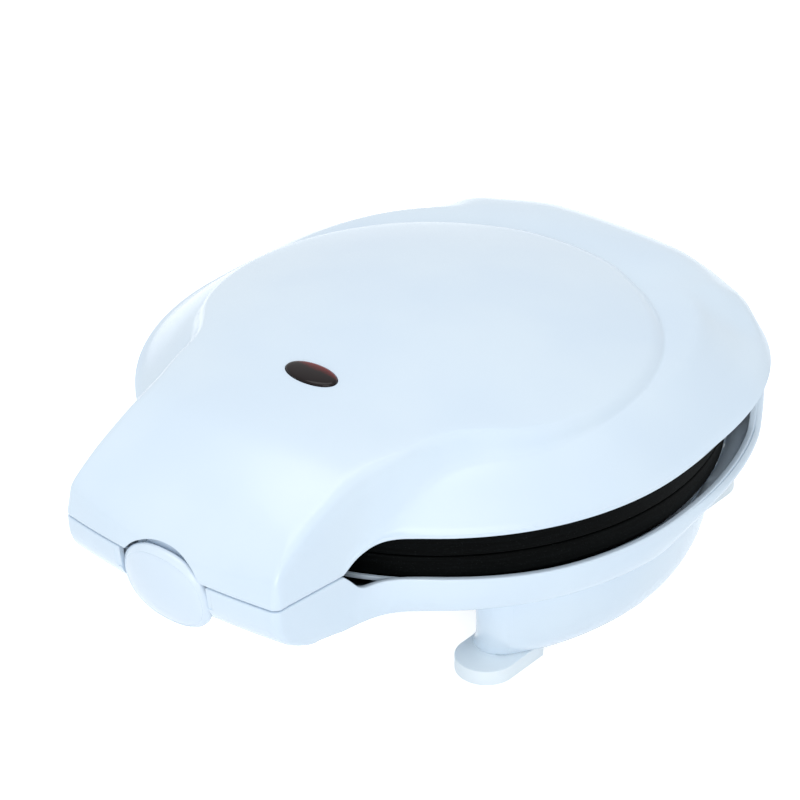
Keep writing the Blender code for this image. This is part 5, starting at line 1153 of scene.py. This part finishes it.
# %% Skin of the base
def base_outside():
    """Down the flange, under its edge and over the bowl's outside."""
    rings = [flange_ring(FLANGE_STOP_SHARE * k / FLANGE_RINGS) for k in range(1, FLANGE_RINGS + 1)]
    corner, under = flange_ring(1.0), under_ring()
    width = np.linalg.norm(under - corner, axis=1)[:, None]
    rings += bend_between(rings[-1], corner, corner + (under - corner) * FLOOR_ROUND / width, 5)
    return rings + [under] + bowl_rings()


def base_inside():
    """From the middle of the bowl out and up to the lip."""
    rings = bowl_rings(SHELL_WALL / 2, SHELL_WALL)[::-1]
    return rings + [flange_ring(share, SHELL_WALL, SHELL_WALL) for share in (1.0, 0.85, 0.7, 0.5, 0.3, 0.12)]


base_rings = base_inside() + lip(edge_outline, rim_heights, -1) + base_outside()
base_shell = skin("base_moulding", base_rings, abs_shell)
print("base skin:", len(base_shell.data.polygons), "faces")

# %% [markdown]
# ## Side walls, columns and the ring inside the neck
# The side walls are one profile swept round an arc, which is what the Spin tool
# does.  Behind the neck the round rim carries on inside the handle as a thin lip.
# A narrow dark hollow opens between that lip and the neck.

# %% Sizes of the side walls and feet
SKIRT_SHARES = [(0.0430, 0.0058), (0.0355, 0.0060), (0.0250, 0.0070), (0.0160, 0.0090), (0.0085, 0.0130),
                (0.0045, 0.0170), (0.0022, 0.0198)]
SKIRT_WALL = 0.0028
SKIRT_START = math.radians(-33.0)
SKIRT_END = math.radians(49.0)
SKIRT_RUN_ON = math.radians(2.5)
SKIRT_STEPS = 64
SKIRT_POINTS = 20
COLUMN_RADIUS = 0.0095
COLUMN_LOW_TURN = math.radians(1.5)
COLUMN_HIGH_TURN = math.radians(3.5)
COLUMN_RINGS = 14
COLUMN_RUN_IN = 0.001
COLUMN_LOW_PLACE = BODY_RADIUS - 0.0225
FOOT_HEIGHT = 0.0058
FOOT_WIDTH = 0.022
FOOT_ASIDE = -0.0019
FOOT_AHEAD = 0.0215
FOOT_BEHIND = 0.0080
REAR_FOOT_ASIDE = 0.0036
REAR_FOOT_AHEAD = 0.0083
REAR_FOOT_BEHIND = 0.0362
FOOT_SPIGOT_RADIUS = 0.0035
FOOT_SPIGOT_HEIGHT = 0.005
FOOT_SEAT_GAP = 0.00005
FOOT_EDGE_ROUND = 0.0004
RING_WALL_INNER = 0.1057
RING_WALL_OUTER = 0.1066
RING_WALL_HEIGHT = 0.0016
RING_WALL_END = math.radians(-55.0)
LUG_FOOT_Z = 0.041
LUG_STEM_GAP = 0.0006
LUG_STEM_AHEAD = 0.0085
LUG_STEM_BEHIND = 0.0030
SEAT_HALF = 0.0225
SEAT_LOW_Z = 0.0475
SEAT_HIGH_Z = 0.0545
SEAT_THICK = 0.0085
GLAND_Z = 0.0455
GLAND_BODY_RADIUS = 0.0052
GLAND_FLANGE_RADIUS = 0.0075
GLAND_BORE = 0.0034
GLAND_FLANGE = 0.0022
GLAND_INNER = 0.0045


# %% Swept walls
def swept_wall(name, profile, start, sweep, steps):
    """Sweep a closed profile of (radius, height) round the body by an arc."""
    bm = bmesh.new()
    turn = Matrix.Rotation(start, 3, "Z")
    face = bm.faces.new([bm.verts.new(turn @ Vector((radius, 0, height))) for radius, height in profile])
    geometry = list(bm.verts) + list(bm.edges) + [face]
    bmesh.ops.spin(bm, geom=geometry, cent=(0, 0, 0), axis=(0, 0, 1), angle=sweep, steps=steps,
                   use_duplicate=False)
    bmesh.ops.recalc_face_normals(bm, faces=bm.faces)
    bmesh.ops.translate(bm, vec=(0, CENTRE_Y, 0), verts=bm.verts)
    return from_bmesh(name, bm)


def skirt_profile():
    """Down the outside and up the inside, with the points spread along the curve."""
    table = sorted((height, set_in) for height, set_in in SKIRT_SHARES)
    low, high = table[0][0], table[-1][0]
    heights = [low + (high - low) * (k / SKIRT_POINTS) ** 1.6 for k in range(SKIRT_POINTS + 1)][::-1]
    outer = [(BODY_RADIUS - follow(table, height), height) for height in heights]
    return outer + [(radius - SKIRT_WALL, height) for radius, height in reversed(outer)]


def spigot_place(side, rear):
    """Where a foot's spigot stands, under the end of a side wall."""
    angle = SKIRT_END if rear else SKIRT_START
    return side * COLUMN_LOW_PLACE * math.cos(angle), COLUMN_LOW_PLACE * math.sin(angle)


walls = [swept_wall("side_wall", skirt_profile(), start - SKIRT_RUN_ON,
                    SKIRT_END - SKIRT_START + 2 * SKIRT_RUN_ON, SKIRT_STEPS)
         for start in (SKIRT_START, math.pi - SKIRT_END)]
ring_top = RIM_Z + FRONT_RIM_RISE - FIT_GAP
ring_low = ring_top - RING_WALL_HEIGHT
ring_profile = [(RING_WALL_OUTER, ring_top), (RING_WALL_OUTER, ring_low), (RING_WALL_INNER, ring_low),
                (RING_WALL_INNER, ring_top)]
walls.append(swept_wall("ring_wall", ring_profile, math.pi - RING_WALL_END, math.pi + 2 * RING_WALL_END,
                        SKIRT_STEPS))

print("walls:", [tuple(round(v, 3) for v in wall.dimensions) for wall in walls])


# %% Columns
def column_skin(side, rear):
    """A round column whose every ring touches the side wall's outer face from within."""
    table = sorted((height, set_in) for height, set_in in SKIRT_SHARES)
    low, high = FOOT_HEIGHT / 2, LEDGE_Z + (QUARTER_RISE if rear else COLUMN_RUN_IN)
    rings = []
    for k in range(COLUMN_RINGS + 1):
        share = k / COLUMN_RINGS
        height = low + (high - low) * share
        place = BODY_RADIUS - follow(table, height) - COLUMN_RADIUS
        away = COLUMN_LOW_TURN + (COLUMN_HIGH_TURN - COLUMN_LOW_TURN) * share
        angle = SKIRT_END + away if rear else SKIRT_START - away
        x, y = side * place * math.cos(angle), place * math.sin(angle)
        rings.append([(x + COLUMN_RADIUS * math.cos(a), y + COLUMN_RADIUS * math.sin(a), height)
                      for a in (math.tau * j / FINE_STEPS for j in range(FINE_STEPS))])
    return skin("column", rings, None)


columns = [column_skin(side, rear) for rear in (False, True) for side in (1, -1)]
print("columns:", len(columns))


# %% Feet: one outline for the pad and for the space it fits
def foot_outline(side, rear, grow):
    """Straight sides and one round end; front feet point forwards, rear feet backwards."""
    spigot_x, spigot_y = spigot_place(1, rear)
    centre_x = spigot_x + (REAR_FOOT_ASIDE if rear else FOOT_ASIDE)
    radius = FOOT_WIDTH / 2 + grow
    way = 1 if rear else -1
    flat_y = spigot_y - way * (REAR_FOOT_AHEAD if rear else FOOT_BEHIND) - way * grow
    round_y = spigot_y + way * ((REAR_FOOT_BEHIND if rear else FOOT_AHEAD) - FOOT_WIDTH / 2)
    arc = [math.pi * k / 32 for k in range(33)]
    points = [(centre_x + radius, flat_y)]
    points += [(centre_x + radius * math.cos(a), round_y + way * radius * math.sin(a)) for a in arc]
    points.append((centre_x - radius, flat_y))
    return [(side * x, y + CENTRE_Y) for x, y in points]


def flat_prism(name, points, low, high, material=None):
    """A prism with a closed outline between two heights."""
    bm = bmesh.new()
    face = bm.faces.new([bm.verts.new((x, y, low)) for x, y in points])
    raised = bmesh.ops.extrude_face_region(bm, geom=[face])
    top = [item for item in raised["geom"] if isinstance(item, bmesh.types.BMVert)]
    bmesh.ops.translate(bm, vec=(0, 0, high - low), verts=top)
    bmesh.ops.recalc_face_normals(bm, faces=bm.faces)
    return from_bmesh(name, bm, material)


feet_spaces = []
for rear in (False, True):
    for side in (1, -1):
        name = "foot_" + ("rear" if rear else "front") + ("_right" if side > 0 else "_left")
        foot = flat_prism(name + "_pad", foot_outline(side, rear, 0), 0, FOOT_HEIGHT, abs_foot_painted_light)
        x, y = spigot_place(side, rear)
        combine(foot, [rod("spigot", (x, y, FOOT_HEIGHT / 2), (x, y, FOOT_HEIGHT + FOOT_SPIGOT_HEIGHT),
                           FOOT_SPIGOT_RADIUS)], "UNION")
        soften(rounded(foot, FOOT_EDGE_ROUND, 4), 20.0)
        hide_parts(name)
        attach(foot, "base")
        feet_spaces.append(flat_prism("foot_space", foot_outline(side, rear, FOOT_SEAT_GAP), -OVERRUN,
                                      FOOT_HEIGHT + FOOT_SEAT_GAP))
        feet_spaces.append(rod("spigot_space", (x, y, 0), (x, y, FOOT_HEIGHT + FOOT_SPIGOT_HEIGHT + FIT_GAP),
                               FOOT_SPIGOT_RADIUS + FIT_GAP))
print("feet:", len(feet_spaces) // 2)

# %% [markdown]
# ## Cuts and bosses of the base
# The base takes its screw posts, the two lugs that hold the hinge pins and a
# thickening behind the latch.  Then the latch's recess, the pin bores, the feet's
# seats and the hole for the lead's bush are cut.

# %% Tools for the base
bowl_table = sorted((share * BOWL_UNIT, BOWL_Z + (LEDGE_Z - BOWL_Z) * rise) for share, rise in BOWL_SHARES)
post_high = PLATE_PART_Z - FIT_GAP / 2 - PLATE_LAND - FIT_GAP
post_low = follow(bowl_table, SCREW_CIRCLE + POST_RADIUS) + SHELL_WALL / 2
bosses = [rod("post", (x, y, post_low), (x, y, post_high), POST_RADIUS) for x, y in screw_places]
for side in (1, -1):
    near, far = sorted((side * (DRUM_HALF + LUG_GAP), side * (DRUM_HALF + LUG_GAP + LUG_THICK)))
    bosses.append(rod("lug", (near, HINGE_Y, HINGE_Z), (far, HINGE_Y, HINGE_Z), LUG_RADIUS, FINE_STEPS))
    bosses.append(block("lug_stem", (near + LUG_STEM_GAP, HINGE_Y - LUG_STEM_AHEAD, LUG_FOOT_Z),
                        (far - LUG_STEM_GAP, HINGE_Y + LUG_STEM_BEHIND, HINGE_Z - LUG_STEM_GAP)))
seat_front = latch_centre.y + LATCH_THICK
bosses.append(block("latch_seat", (-SEAT_HALF, seat_front, SEAT_LOW_Z),
                    (SEAT_HALF, seat_front + SEAT_THICK, SEAT_HIGH_Z)))

holes = feet_spaces + [pin_space(1), pin_space(-1), latch_prism("recess", NOTCH_FRONT, recess)]
holes.append(block("way_up", (-channel_half, -NOTCH_FRONT - CENTRE_Y, 0),
                   (channel_half, recess - CENTRE_Y, latch_half_height)))
for side in (1, -1):
    place = side * (channel_half + SCOOP_ASIDE)
    holes.append(rod("scoop", (place, -SCOOP_AHEAD - CENTRE_Y, 0),
                     (place, -SCOOP_AHEAD - CENTRE_Y, latch_half_height), SCOOP_RADIUS))
for tool in holes[-3:]:
    tool.data.transform(latch_frame)
holes.append(rod("gland_space", (0, HINGE_Y - 2 * GLAND_INNER, GLAND_Z), (0, REAR_REACH + OVERRUN, GLAND_Z),
                 GLAND_BODY_RADIUS + FIT_GAP))
holes += [rod("screw_space", (x, y, PLATE_PART_Z - SCREW_LENGTH - 2 * FIT_GAP), (x, y, PLATE_PART_Z),
              SCREW_RADIUS + FIT_GAP) for x, y in screw_places]
combine(base_shell, walls + columns + bosses, "UNION")
combine(base_shell, holes, "DIFFERENCE")
soften(base_shell, CREASE_DEGREES)
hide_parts("base_shell")
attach(base_shell, "base")
print("base moulding:", len(base_shell.data.polygons), "faces")

# %% [markdown]
# ## The latch
# The latch is a thin oval plate that the thumb lifts.  Its face is a shallow dome
# with a bevelled rim, and a fine step runs round where the two meet.  The plate is
# built from oval rings, one for each point of its section.

# %% Section and skin of the latch
LATCH_SECTION_SHARES = [
    (0.90, -0.34), (0.965, -0.32), (0.99, -0.26), (1.0, -0.16), (1.0, 0.02), (0.993, 0.12), (0.975, 0.20),
    (0.945, 0.31), (0.915, 0.405), (0.906, 0.425), (0.900, 0.415), (0.892, 0.400), (0.884, 0.415),
    (0.86, 0.47), (0.80, 0.57), (0.70, 0.69), (0.58, 0.80), (0.44, 0.89), (0.30, 0.95), (0.15, 0.985),
    (0.03, 1.0),
]
LATCH_STEPS = 144


def latch_rings():
    """Oval rings from the latch's back, round its edge and over its face."""
    back = [(share, LATCH_SECTION_SHARES[0][1]) for share in (0.02, 0.3, 0.6)]
    oval = [fuller(math.tau * k / LATCH_STEPS, LATCH_POWER) for k in range(LATCH_STEPS)]
    return [[(share * LATCH_HALF_WIDTH * across, -depth * LATCH_DOME, share * latch_half_height * along)
             for across, along in oval] for share, depth in back + LATCH_SECTION_SHARES]


latch = ring_skin("latch_plate", latch_rings(), latch_frame, abs_latch)
knuckle_ends = [(side * LATCH_KNUCKLE_HALF, LATCH_PIVOT_Y, LATCH_PIVOT_Z) for side in (-1, 1)]
web_low = (-LATCH_KNUCKLE_HALF + FIT_GAP, latch_centre.y, LATCH_PIVOT_Z - LATCH_PIN_RADIUS)
web_high = (LATCH_KNUCKLE_HALF - FIT_GAP, LATCH_PIVOT_Y, LATCH_PIVOT_Z + LATCH_PIN_RADIUS)
combine(latch, [rod("knuckle", *knuckle_ends, LATCH_KNUCKLE_RADIUS),
                block("web", web_low, web_high)], "UNION")
bore_ends = [(side * (LATCH_KNUCKLE_HALF + OVERRUN), LATCH_PIVOT_Y, LATCH_PIVOT_Z) for side in (-1, 1)]
combine(latch, [rod("bore", *bore_ends, LATCH_PIN_RADIUS + FIT_GAP)], "DIFFERENCE")
soften(latch, 40.0)
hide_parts("latch")
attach(latch, "latch")
print("latch:", len(latch.data.polygons), "faces")

# %% [markdown]
# ## The indicator's window
# A small oval of red acrylic, slightly domed, pushed up through the lid from below
# and held by a flange.  Only its top shows.

# %% Window
WINDOW_SECTION = [(0.04, -LENS_DEPTH), (1.0, -LENS_DEPTH), (1.0, 0.0), (0.985, 0.0003), (0.95, 0.00055),
                  (0.88, 0.0007), (0.75, 0.00085), (0.5, 0.00100), (0.25, 0.00108), (0.04, 0.0011)]


def window_rings():
    """Oval rings from the window's underside up its edge and over its dome."""
    angles = [math.tau * k / FINE_STEPS for k in range(FINE_STEPS)]
    return [[(share * LENS_HALF_LENGTH * math.cos(a), share * LENS_HALF_WIDTH * math.sin(a), height)
             for a in angles] for share, height in WINDOW_SECTION]


window = ring_skin("indicator_window", window_rings(), lens_frame, acrylic_red)
combine(window, [prism("flange", LENS_HALF_LENGTH + LENS_FLANGE, LENS_HALF_WIDTH + LENS_FLANGE,
                       -LENS_DEPTH - LENS_FLANGE / 2, -SHELL_WALL - LENS_FLANGE, lens_frame)], "UNION")
soften(window, 40.0)
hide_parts("indicator_lens")
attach(window, "lid")
print("window:", len(window.data.polygons), "faces")

# %% [markdown]
# ## The cast plates
# Each plate is a turned disc with a skirt, and a square block behind it gives room
# for four three-sided pockets.  A casting has no sharp edge, so the mouths and
# floors of the pockets are rounded: the cutter itself is a stack of rounded
# triangles that flares at the mouth and closes in at the floor.

# %% Sizes of the plates
PLATE_RADIUS = BODY_RADIUS - SHELL_WALL - FIT_GAP
PLATE_LIP = 0.0008
PLATE_BACK_LIP = 0.0005
SKIRT_INSET = 0.0020
LOWER_SKIRT_Z = 0.0462
UPPER_SKIRT_Z = 0.0654
PLATE_SKIRT_WALL = 0.0025
POCKET_DEPTH = 0.0100
POCKET_FLOOR = 0.0025
POCKET_DRAFT = 0.0045
POCKET_ROUND = 0.0022
POCKET_MOUTH = 0.0009
POCKET_MOUTH_CORNER = 0.0030
POCKET_FLOOR_CORNER = 0.0026
GROOVE_STEPS = 16
PLATE_HUB = 0.001
BLOCK_ROUND = 0.014
RIDGE_WIDTH = 0.0060
DRIP_RADIUS = 0.0011
DRIP_OFFSET = 0.0024
DRIP_CORNER = 0.005
PLATE_STEPS = 192
SCREW_HEAD_RADIUS = 0.0035
SCREW_HEAD_HEIGHT = 0.0020


# %% Turned shapes and rounded outlines
def turned(name, profile, steps, material=None):
    """Rings of (radius, height) round the body's axis, closed at the first and the last."""
    angles = [math.tau * k / steps for k in range(steps)]
    rings = [[(radius * math.cos(a), radius * math.sin(a), height) for a in angles]
             for radius, height in profile]
    return skin(name, rings, material)


def round_corners(corners, radius, count):
    """A closed outline with a curve at each corner."""
    points = []
    for k, corner in enumerate(corners):
        here = np.array(corner, float)
        before = np.array(corners[k - 1], float) - here
        after = np.array(corners[(k + 1) % len(corners)], float) - here
        before /= np.linalg.norm(before)
        after /= np.linalg.norm(after)
        reach = radius / math.tan(math.acos(float(before @ after)) / 2)
        start, end = here + before * reach, here + after * reach
        points += [start] + bend_between(start, here, end, count)
    return points


def square_corners(half):
    """The corners of a square round the middle."""
    return [(half, half), (-half, half), (-half, -half), (half, -half)]


def pocket_tool(face, up, quarter):
    """A pocket's space: rounded triangles from above the face down to its floor."""
    def at(draft, radius, depth):
        near = RIDGE_WIDTH + draft * 1.5
        far = SQUARE_SIDE / 2 - draft
        half_long = SQUARE_SIDE / 2 - RIDGE_WIDTH - draft * 2
        plan = round_corners([(near, 0.0), (far, half_long), (far, -half_long)], radius, 8)
        return [turn @ Vector((x, y, face + up * depth)) for x, y in plan]

    turn = Matrix.Rotation(math.pi / 2 * quarter, 3, "Z")
    rings = [at(-POCKET_MOUTH, POCKET_MOUTH_CORNER, -OVERRUN)]
    for k in range(5):
        angle = math.pi / 2 * k / 4
        rings.append(at(-POCKET_MOUTH * (1 - math.sin(angle)), POCKET_MOUTH_CORNER,
                        POCKET_MOUTH * (1 - math.cos(angle))))
    straight = POCKET_DEPTH - POCKET_ROUND
    foot_draft = POCKET_DRAFT * straight / POCKET_DEPTH
    for k in range(6):
        angle = math.pi / 2 * k / 5
        rings.append(at(foot_draft + POCKET_ROUND * (1 - math.cos(angle)), POCKET_FLOOR_CORNER,
                        straight + POCKET_ROUND * math.sin(angle)))
    return skin("pocket", rings, None)


def groove_tool(face):
    """A thin round bar bent into a square with round corners, half sunk in the face."""
    plan = round_corners(square_corners(SQUARE_SIDE / 2 + DRIP_OFFSET), DRIP_CORNER, 8)
    count = len(plan)
    bm = bmesh.new()
    rows = []
    for k in range(count):
        along = plan[(k + 1) % count] - plan[k - 1]
        out = Vector((along[1], -along[0], 0)).normalized()
        middle = Vector((plan[k][0], plan[k][1] + CENTRE_Y, face))
        rows.append([bm.verts.new(middle + DRIP_RADIUS * (out * math.cos(a) + Vector((0, 0, math.sin(a)))))
                     for a in (math.tau * j / GROOVE_STEPS for j in range(GROOVE_STEPS))])
    for k in range(count):
        for j in range(GROOVE_STEPS):
            after = (j + 1) % GROOVE_STEPS
            bm.faces.new((rows[k - 1][j], rows[k - 1][after], rows[k][after], rows[k][j]))
    bmesh.ops.recalc_face_normals(bm, faces=bm.faces)
    return from_bmesh("groove", bm)


# %% Make both plates
def make_plate(name, up, skirt_z):
    """A plate; up is 1 for the upper one and -1 for the lower one."""
    face = PLATE_PART_Z + up * FIT_GAP / 2
    back = face + up * PLATE_LAND
    corner = np.array((PLATE_RADIUS, face))
    rim = [corner - (PLATE_LIP, 0)] + bend_between(corner - (PLATE_LIP, 0), corner,
                                                   corner + (0, up * PLATE_LIP), 4)
    if up < 0:
        step, inner = RIM_Z + FIT_GAP, PLATE_RADIUS - SKIRT_INSET
        side = [(PLATE_RADIUS, step + EDGE_ROUND), (PLATE_RADIUS - EDGE_ROUND, step),
                (inner, step - SKIRT_INSET), (inner, skirt_z)]
    else:
        inner = PLATE_RADIUS
        side = [(PLATE_RADIUS, skirt_z)]
    low_wall = inner - PLATE_SKIRT_WALL
    hollow = [(low_wall, skirt_z), (low_wall, back + up * PLATE_BACK_LIP), (low_wall - PLATE_BACK_LIP, back),
              (PLATE_HUB, back)]
    plate = turned(name, [(PLATE_HUB, face)] + rim + side + hollow, PLATE_STEPS, ptfe_black)
    low, high = sorted((back - up * PLATE_LAND / 2, face + up * (POCKET_DEPTH + POCKET_FLOOR)))
    square = round_corners(square_corners(SQUARE_SIDE / 2 + BLOCK_WALL), BLOCK_ROUND, 10)
    combine(plate, [flat_prism("block", [(x, y + CENTRE_Y) for x, y in square], low, high)], "UNION")
    tools = [pocket_tool(face, up, quarter) for quarter in range(4)] + [groove_tool(face)]
    for x, y in screw_places:
        tools.append(rod("hole", (x, y, face - up * OVERRUN), (x, y, face + up * (PLATE_LAND + OVERRUN)),
                         SCREW_RADIUS + FIT_GAP))
        tools.append(rod("sink", (x, y, face - up * OVERRUN),
                         (x, y, face + up * (SCREW_HEAD_HEIGHT + FIT_GAP)), SCREW_HEAD_RADIUS + FIT_GAP))
    combine(plate, tools, "DIFFERENCE")
    return soften(plate, 25.0)


for word, up, skirt_z, body in (("lower", -1, LOWER_SKIRT_Z, "base"), ("upper", 1, UPPER_SKIRT_Z, "lid")):
    plate = make_plate(word + "_cast_plate", up, skirt_z)
    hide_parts(word + "_plate")
    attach(plate, body)
    print(plate.name, len(plate.data.polygons), "faces")

# %% [markdown]
# ## Screws and the lead's bush
# Eight cross-head screws hold the plates.  One is modelled with a domed head and a
# cross recess, and its copies are turned over for the upper plate.

# %% Screws
DRIVE_WIDTH = 0.0010
DRIVE_LENGTH = 0.0044
DRIVE_DEPTH = 0.0009
SCREW_TIP = 0.0003
# the screws stop at any angle, so each one is turned on by this much, in radians
SCREW_FIRST_TURN = 0.5
SCREW_NEXT_TURN = 1.1
HEAD_SECTION_SHARES = [(0.03, 0.0), (0.5, 0.06), (0.8, 0.2), (0.95, 0.42), (1.0, 0.7), (1.0, 0.95),
                       (0.97, 1.0), (0.45, 1.0)]


def make_screw():
    """A screw whose head is at the origin's level and whose shank points down."""
    head = [(share * SCREW_HEAD_RADIUS, -depth * SCREW_HEAD_HEIGHT) for share, depth in HEAD_SECTION_SHARES]
    shank = [(SCREW_RADIUS, -SCREW_HEAD_HEIGHT), (SCREW_RADIUS, -SCREW_LENGTH + SCREW_RADIUS),
             (SCREW_TIP, -SCREW_LENGTH)]
    screw = turned("screw", head + shank, 48, steel_plated)
    across, along = DRIVE_WIDTH / 2, DRIVE_LENGTH / 2
    combine(screw, [block("drive", (-along, -across, -DRIVE_DEPTH), (along, across, OVERRUN)),
                    block("drive", (-across, -along, -DRIVE_DEPTH), (across, along, OVERRUN))], "DIFFERENCE")
    screw.data.transform(Matrix.Translation((0, -CENTRE_Y, 0)))
    return soften(screw, 35.0)


pattern_screw = make_screw()
for word, up, body in (("base", -1, "base"), ("lid", 1, "lid")):
    for n, (x, y) in enumerate(screw_places):
        screw = bpy.data.objects.new(f"{word}_cross_screw_{n + 1}", pattern_screw.data.copy())
        scene.collection.objects.link(screw)
        over = Matrix.Rotation(math.pi if up > 0 else 0.0, 4, "X")
        spin = Matrix.Rotation(SCREW_FIRST_TURN + SCREW_NEXT_TURN * n, 4, "Z")
        level = PLATE_PART_Z + up * FIT_GAP / 2
        screw.data.transform(Matrix.Translation((x, y + CENTRE_Y, level)) @ over @ spin)
        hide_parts(f"{word}_screw_{n + 1}")
        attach(screw, body)
bpy.data.objects.remove(pattern_screw, do_unlink=True)
print("screws at", [tuple(round(v, 3) for v in place) for place in screw_places])

# %% The bush for the lead
gland_low, gland_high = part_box("cord_gland")
gland_front, gland_rear = gland_low.y, gland_high.y
bush_section = [
    (GLAND_BORE + 0.0003, gland_front), (GLAND_BODY_RADIUS - 0.0004, gland_front),
    (GLAND_BODY_RADIUS, gland_front + 0.0006), (GLAND_BODY_RADIUS, gland_rear - GLAND_FLANGE),
    (GLAND_FLANGE_RADIUS - 0.0002, gland_rear - GLAND_FLANGE),
    (GLAND_FLANGE_RADIUS, gland_rear - GLAND_FLANGE + 0.0003),
    (GLAND_FLANGE_RADIUS, gland_rear - 0.0011), (GLAND_FLANGE_RADIUS - 0.0003, gland_rear - 0.0005),
    (GLAND_FLANGE_RADIUS - 0.0009, gland_rear - 0.0001), (GLAND_FLANGE_RADIUS - 0.0014, gland_rear),
    (GLAND_BORE + 0.0009, gland_rear), (GLAND_BORE + 0.0003, gland_rear - 0.0003),
    (GLAND_BORE, gland_rear - 0.0010), (GLAND_BORE, gland_front + 0.0003),
]
bm = bmesh.new()
rows = [[bm.verts.new((radius * math.cos(a), y, GLAND_Z + radius * math.sin(a)))
         for a in (math.tau * k / FINE_STEPS for k in range(FINE_STEPS))] for radius, y in bush_section]
for r in range(len(rows)):
    for k in range(FINE_STEPS):
        after = (k + 1) % FINE_STEPS
        bm.faces.new((rows[r - 1][k], rows[r - 1][after], rows[r][after], rows[r][k]))
bmesh.ops.recalc_face_normals(bm, faces=bm.faces)
bush = soften(from_bmesh("lead_bush", bm, nylon_white), 35.0)
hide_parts("cord_gland")
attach(bush, "base")
print("bush:", len(bush.data.polygons), "faces")

# %% [markdown]
# ## Light, floor and backdrop
# The photograph has the even, almost shadowless light of a white tent.  A pale
# world lights everything softly.  One wide lamp above gives the form its gentle
# shading, a wide one in front lifts the columns and feet, and a weak one fills the
# right side.  To the camera the world is plain white, and glossy surfaces see that
# same white tent.

# %% World
world = bpy.data.worlds.new("white_tent")
scene.world = world
world.use_nodes = True
tree = world.node_tree
tree.nodes.clear()
WORLD_LIGHT = "#F3FAFE"
WORLD_STRENGTH = 0.66
path = add_node(tree, "ShaderNodeLightPath")
either = add_node(tree, "ShaderNodeMath", {0: (path, "Is Camera Ray"), 1: (path, "Is Glossy Ray")},
                  {"operation": "MAXIMUM"})
shown = add_node(tree, "ShaderNodeMath", {0: (either, "Value"), 1: (path, "Is Transmission Ray")},
                 {"operation": "MAXIMUM"})
light = add_node(tree, "ShaderNodeBackground", {"Color": linear(WORLD_LIGHT), "Strength": WORLD_STRENGTH})
white = add_node(tree, "ShaderNodeBackground", {"Color": linear("#FFFFFF"), "Strength": 1.0})
mixed = add_node(tree, "ShaderNodeMixShader", {"Fac": (shown, "Value"), 1: (light, "Background"),
                                               2: (white, "Background")})
add_node(tree, "ShaderNodeOutputWorld", {"Surface": (mixed, "Shader")})
print("world strength", WORLD_STRENGTH)


# %% Lamps
def add_lamp(name, place, aim, size, watts, colour):
    """A round area lamp that is aimed at a point."""
    lamp = bpy.data.objects.new(name, bpy.data.lights.new(name, "AREA"))
    lamp.data.shape = "DISK"
    lamp.data.size = size
    lamp.data.energy = watts
    lamp.data.color = linear(colour)[:3]
    lamp.location = place
    lamp.rotation_euler = (Vector(aim) - Vector(place)).to_track_quat("-Z", "Y").to_euler()
    scene.collection.objects.link(lamp)
    return lamp


key = add_lamp("key_above", (-0.20, -0.05, 1.35), (0, 0, 0.06), 1.1, 4.8, "#FFFFFF")
front = add_lamp("fill_front", (0.80, -1.15, 0.50), (0, 0, 0.03), 1.0, 6.8, "#FFFFFF")
side = add_lamp("fill_right", (1.25, 0.10, 0.60), (0, 0, 0.06), 0.8, 0.4, "#F4FDFF")
print("lamps:", key.data.energy, front.data.energy, side.data.energy)

# %% Floor
FLOOR_SIZE = 8.0
FLOOR_GLOW = 0.75
PAPER_GRAIN_MM = 2.0
floor_material, tree, shader, place = start_material("paper_matt_white", 0.9)
path = add_node(tree, "ShaderNodeLightPath")
grain = add_node(tree, "ShaderNodeTexNoise", {"Vector": (place, "Object"), "Scale": per_mm(PAPER_GRAIN_MM)})
tone = two_tone(tree, grain, "Fac", 0.3, 0.7, "#E6E9EB", "#E9EBED")
tree.links.new(tone.outputs["Color"], shader.inputs["Base Color"])
shader.inputs["Specular IOR Level"].default_value = 0.0
shader.inputs["Emission Color"].default_value = linear("#FFFFFF")
either = add_node(tree, "ShaderNodeMath", {0: (path, "Is Camera Ray"), 1: (path, "Is Glossy Ray")},
                  {"operation": "MAXIMUM"})
glow = add_node(tree, "ShaderNodeMath", {0: (either, "Value"), 1: FLOOR_GLOW}, {"operation": "MULTIPLY"})
tree.links.new(glow.outputs["Value"], shader.inputs["Emission Strength"])
bm = bmesh.new()
bmesh.ops.create_grid(bm, x_segments=8, y_segments=8, size=FLOOR_SIZE / 2)
floor = from_bmesh("floor", bm, floor_material)
print("floor", FLOOR_SIZE, "m wide")
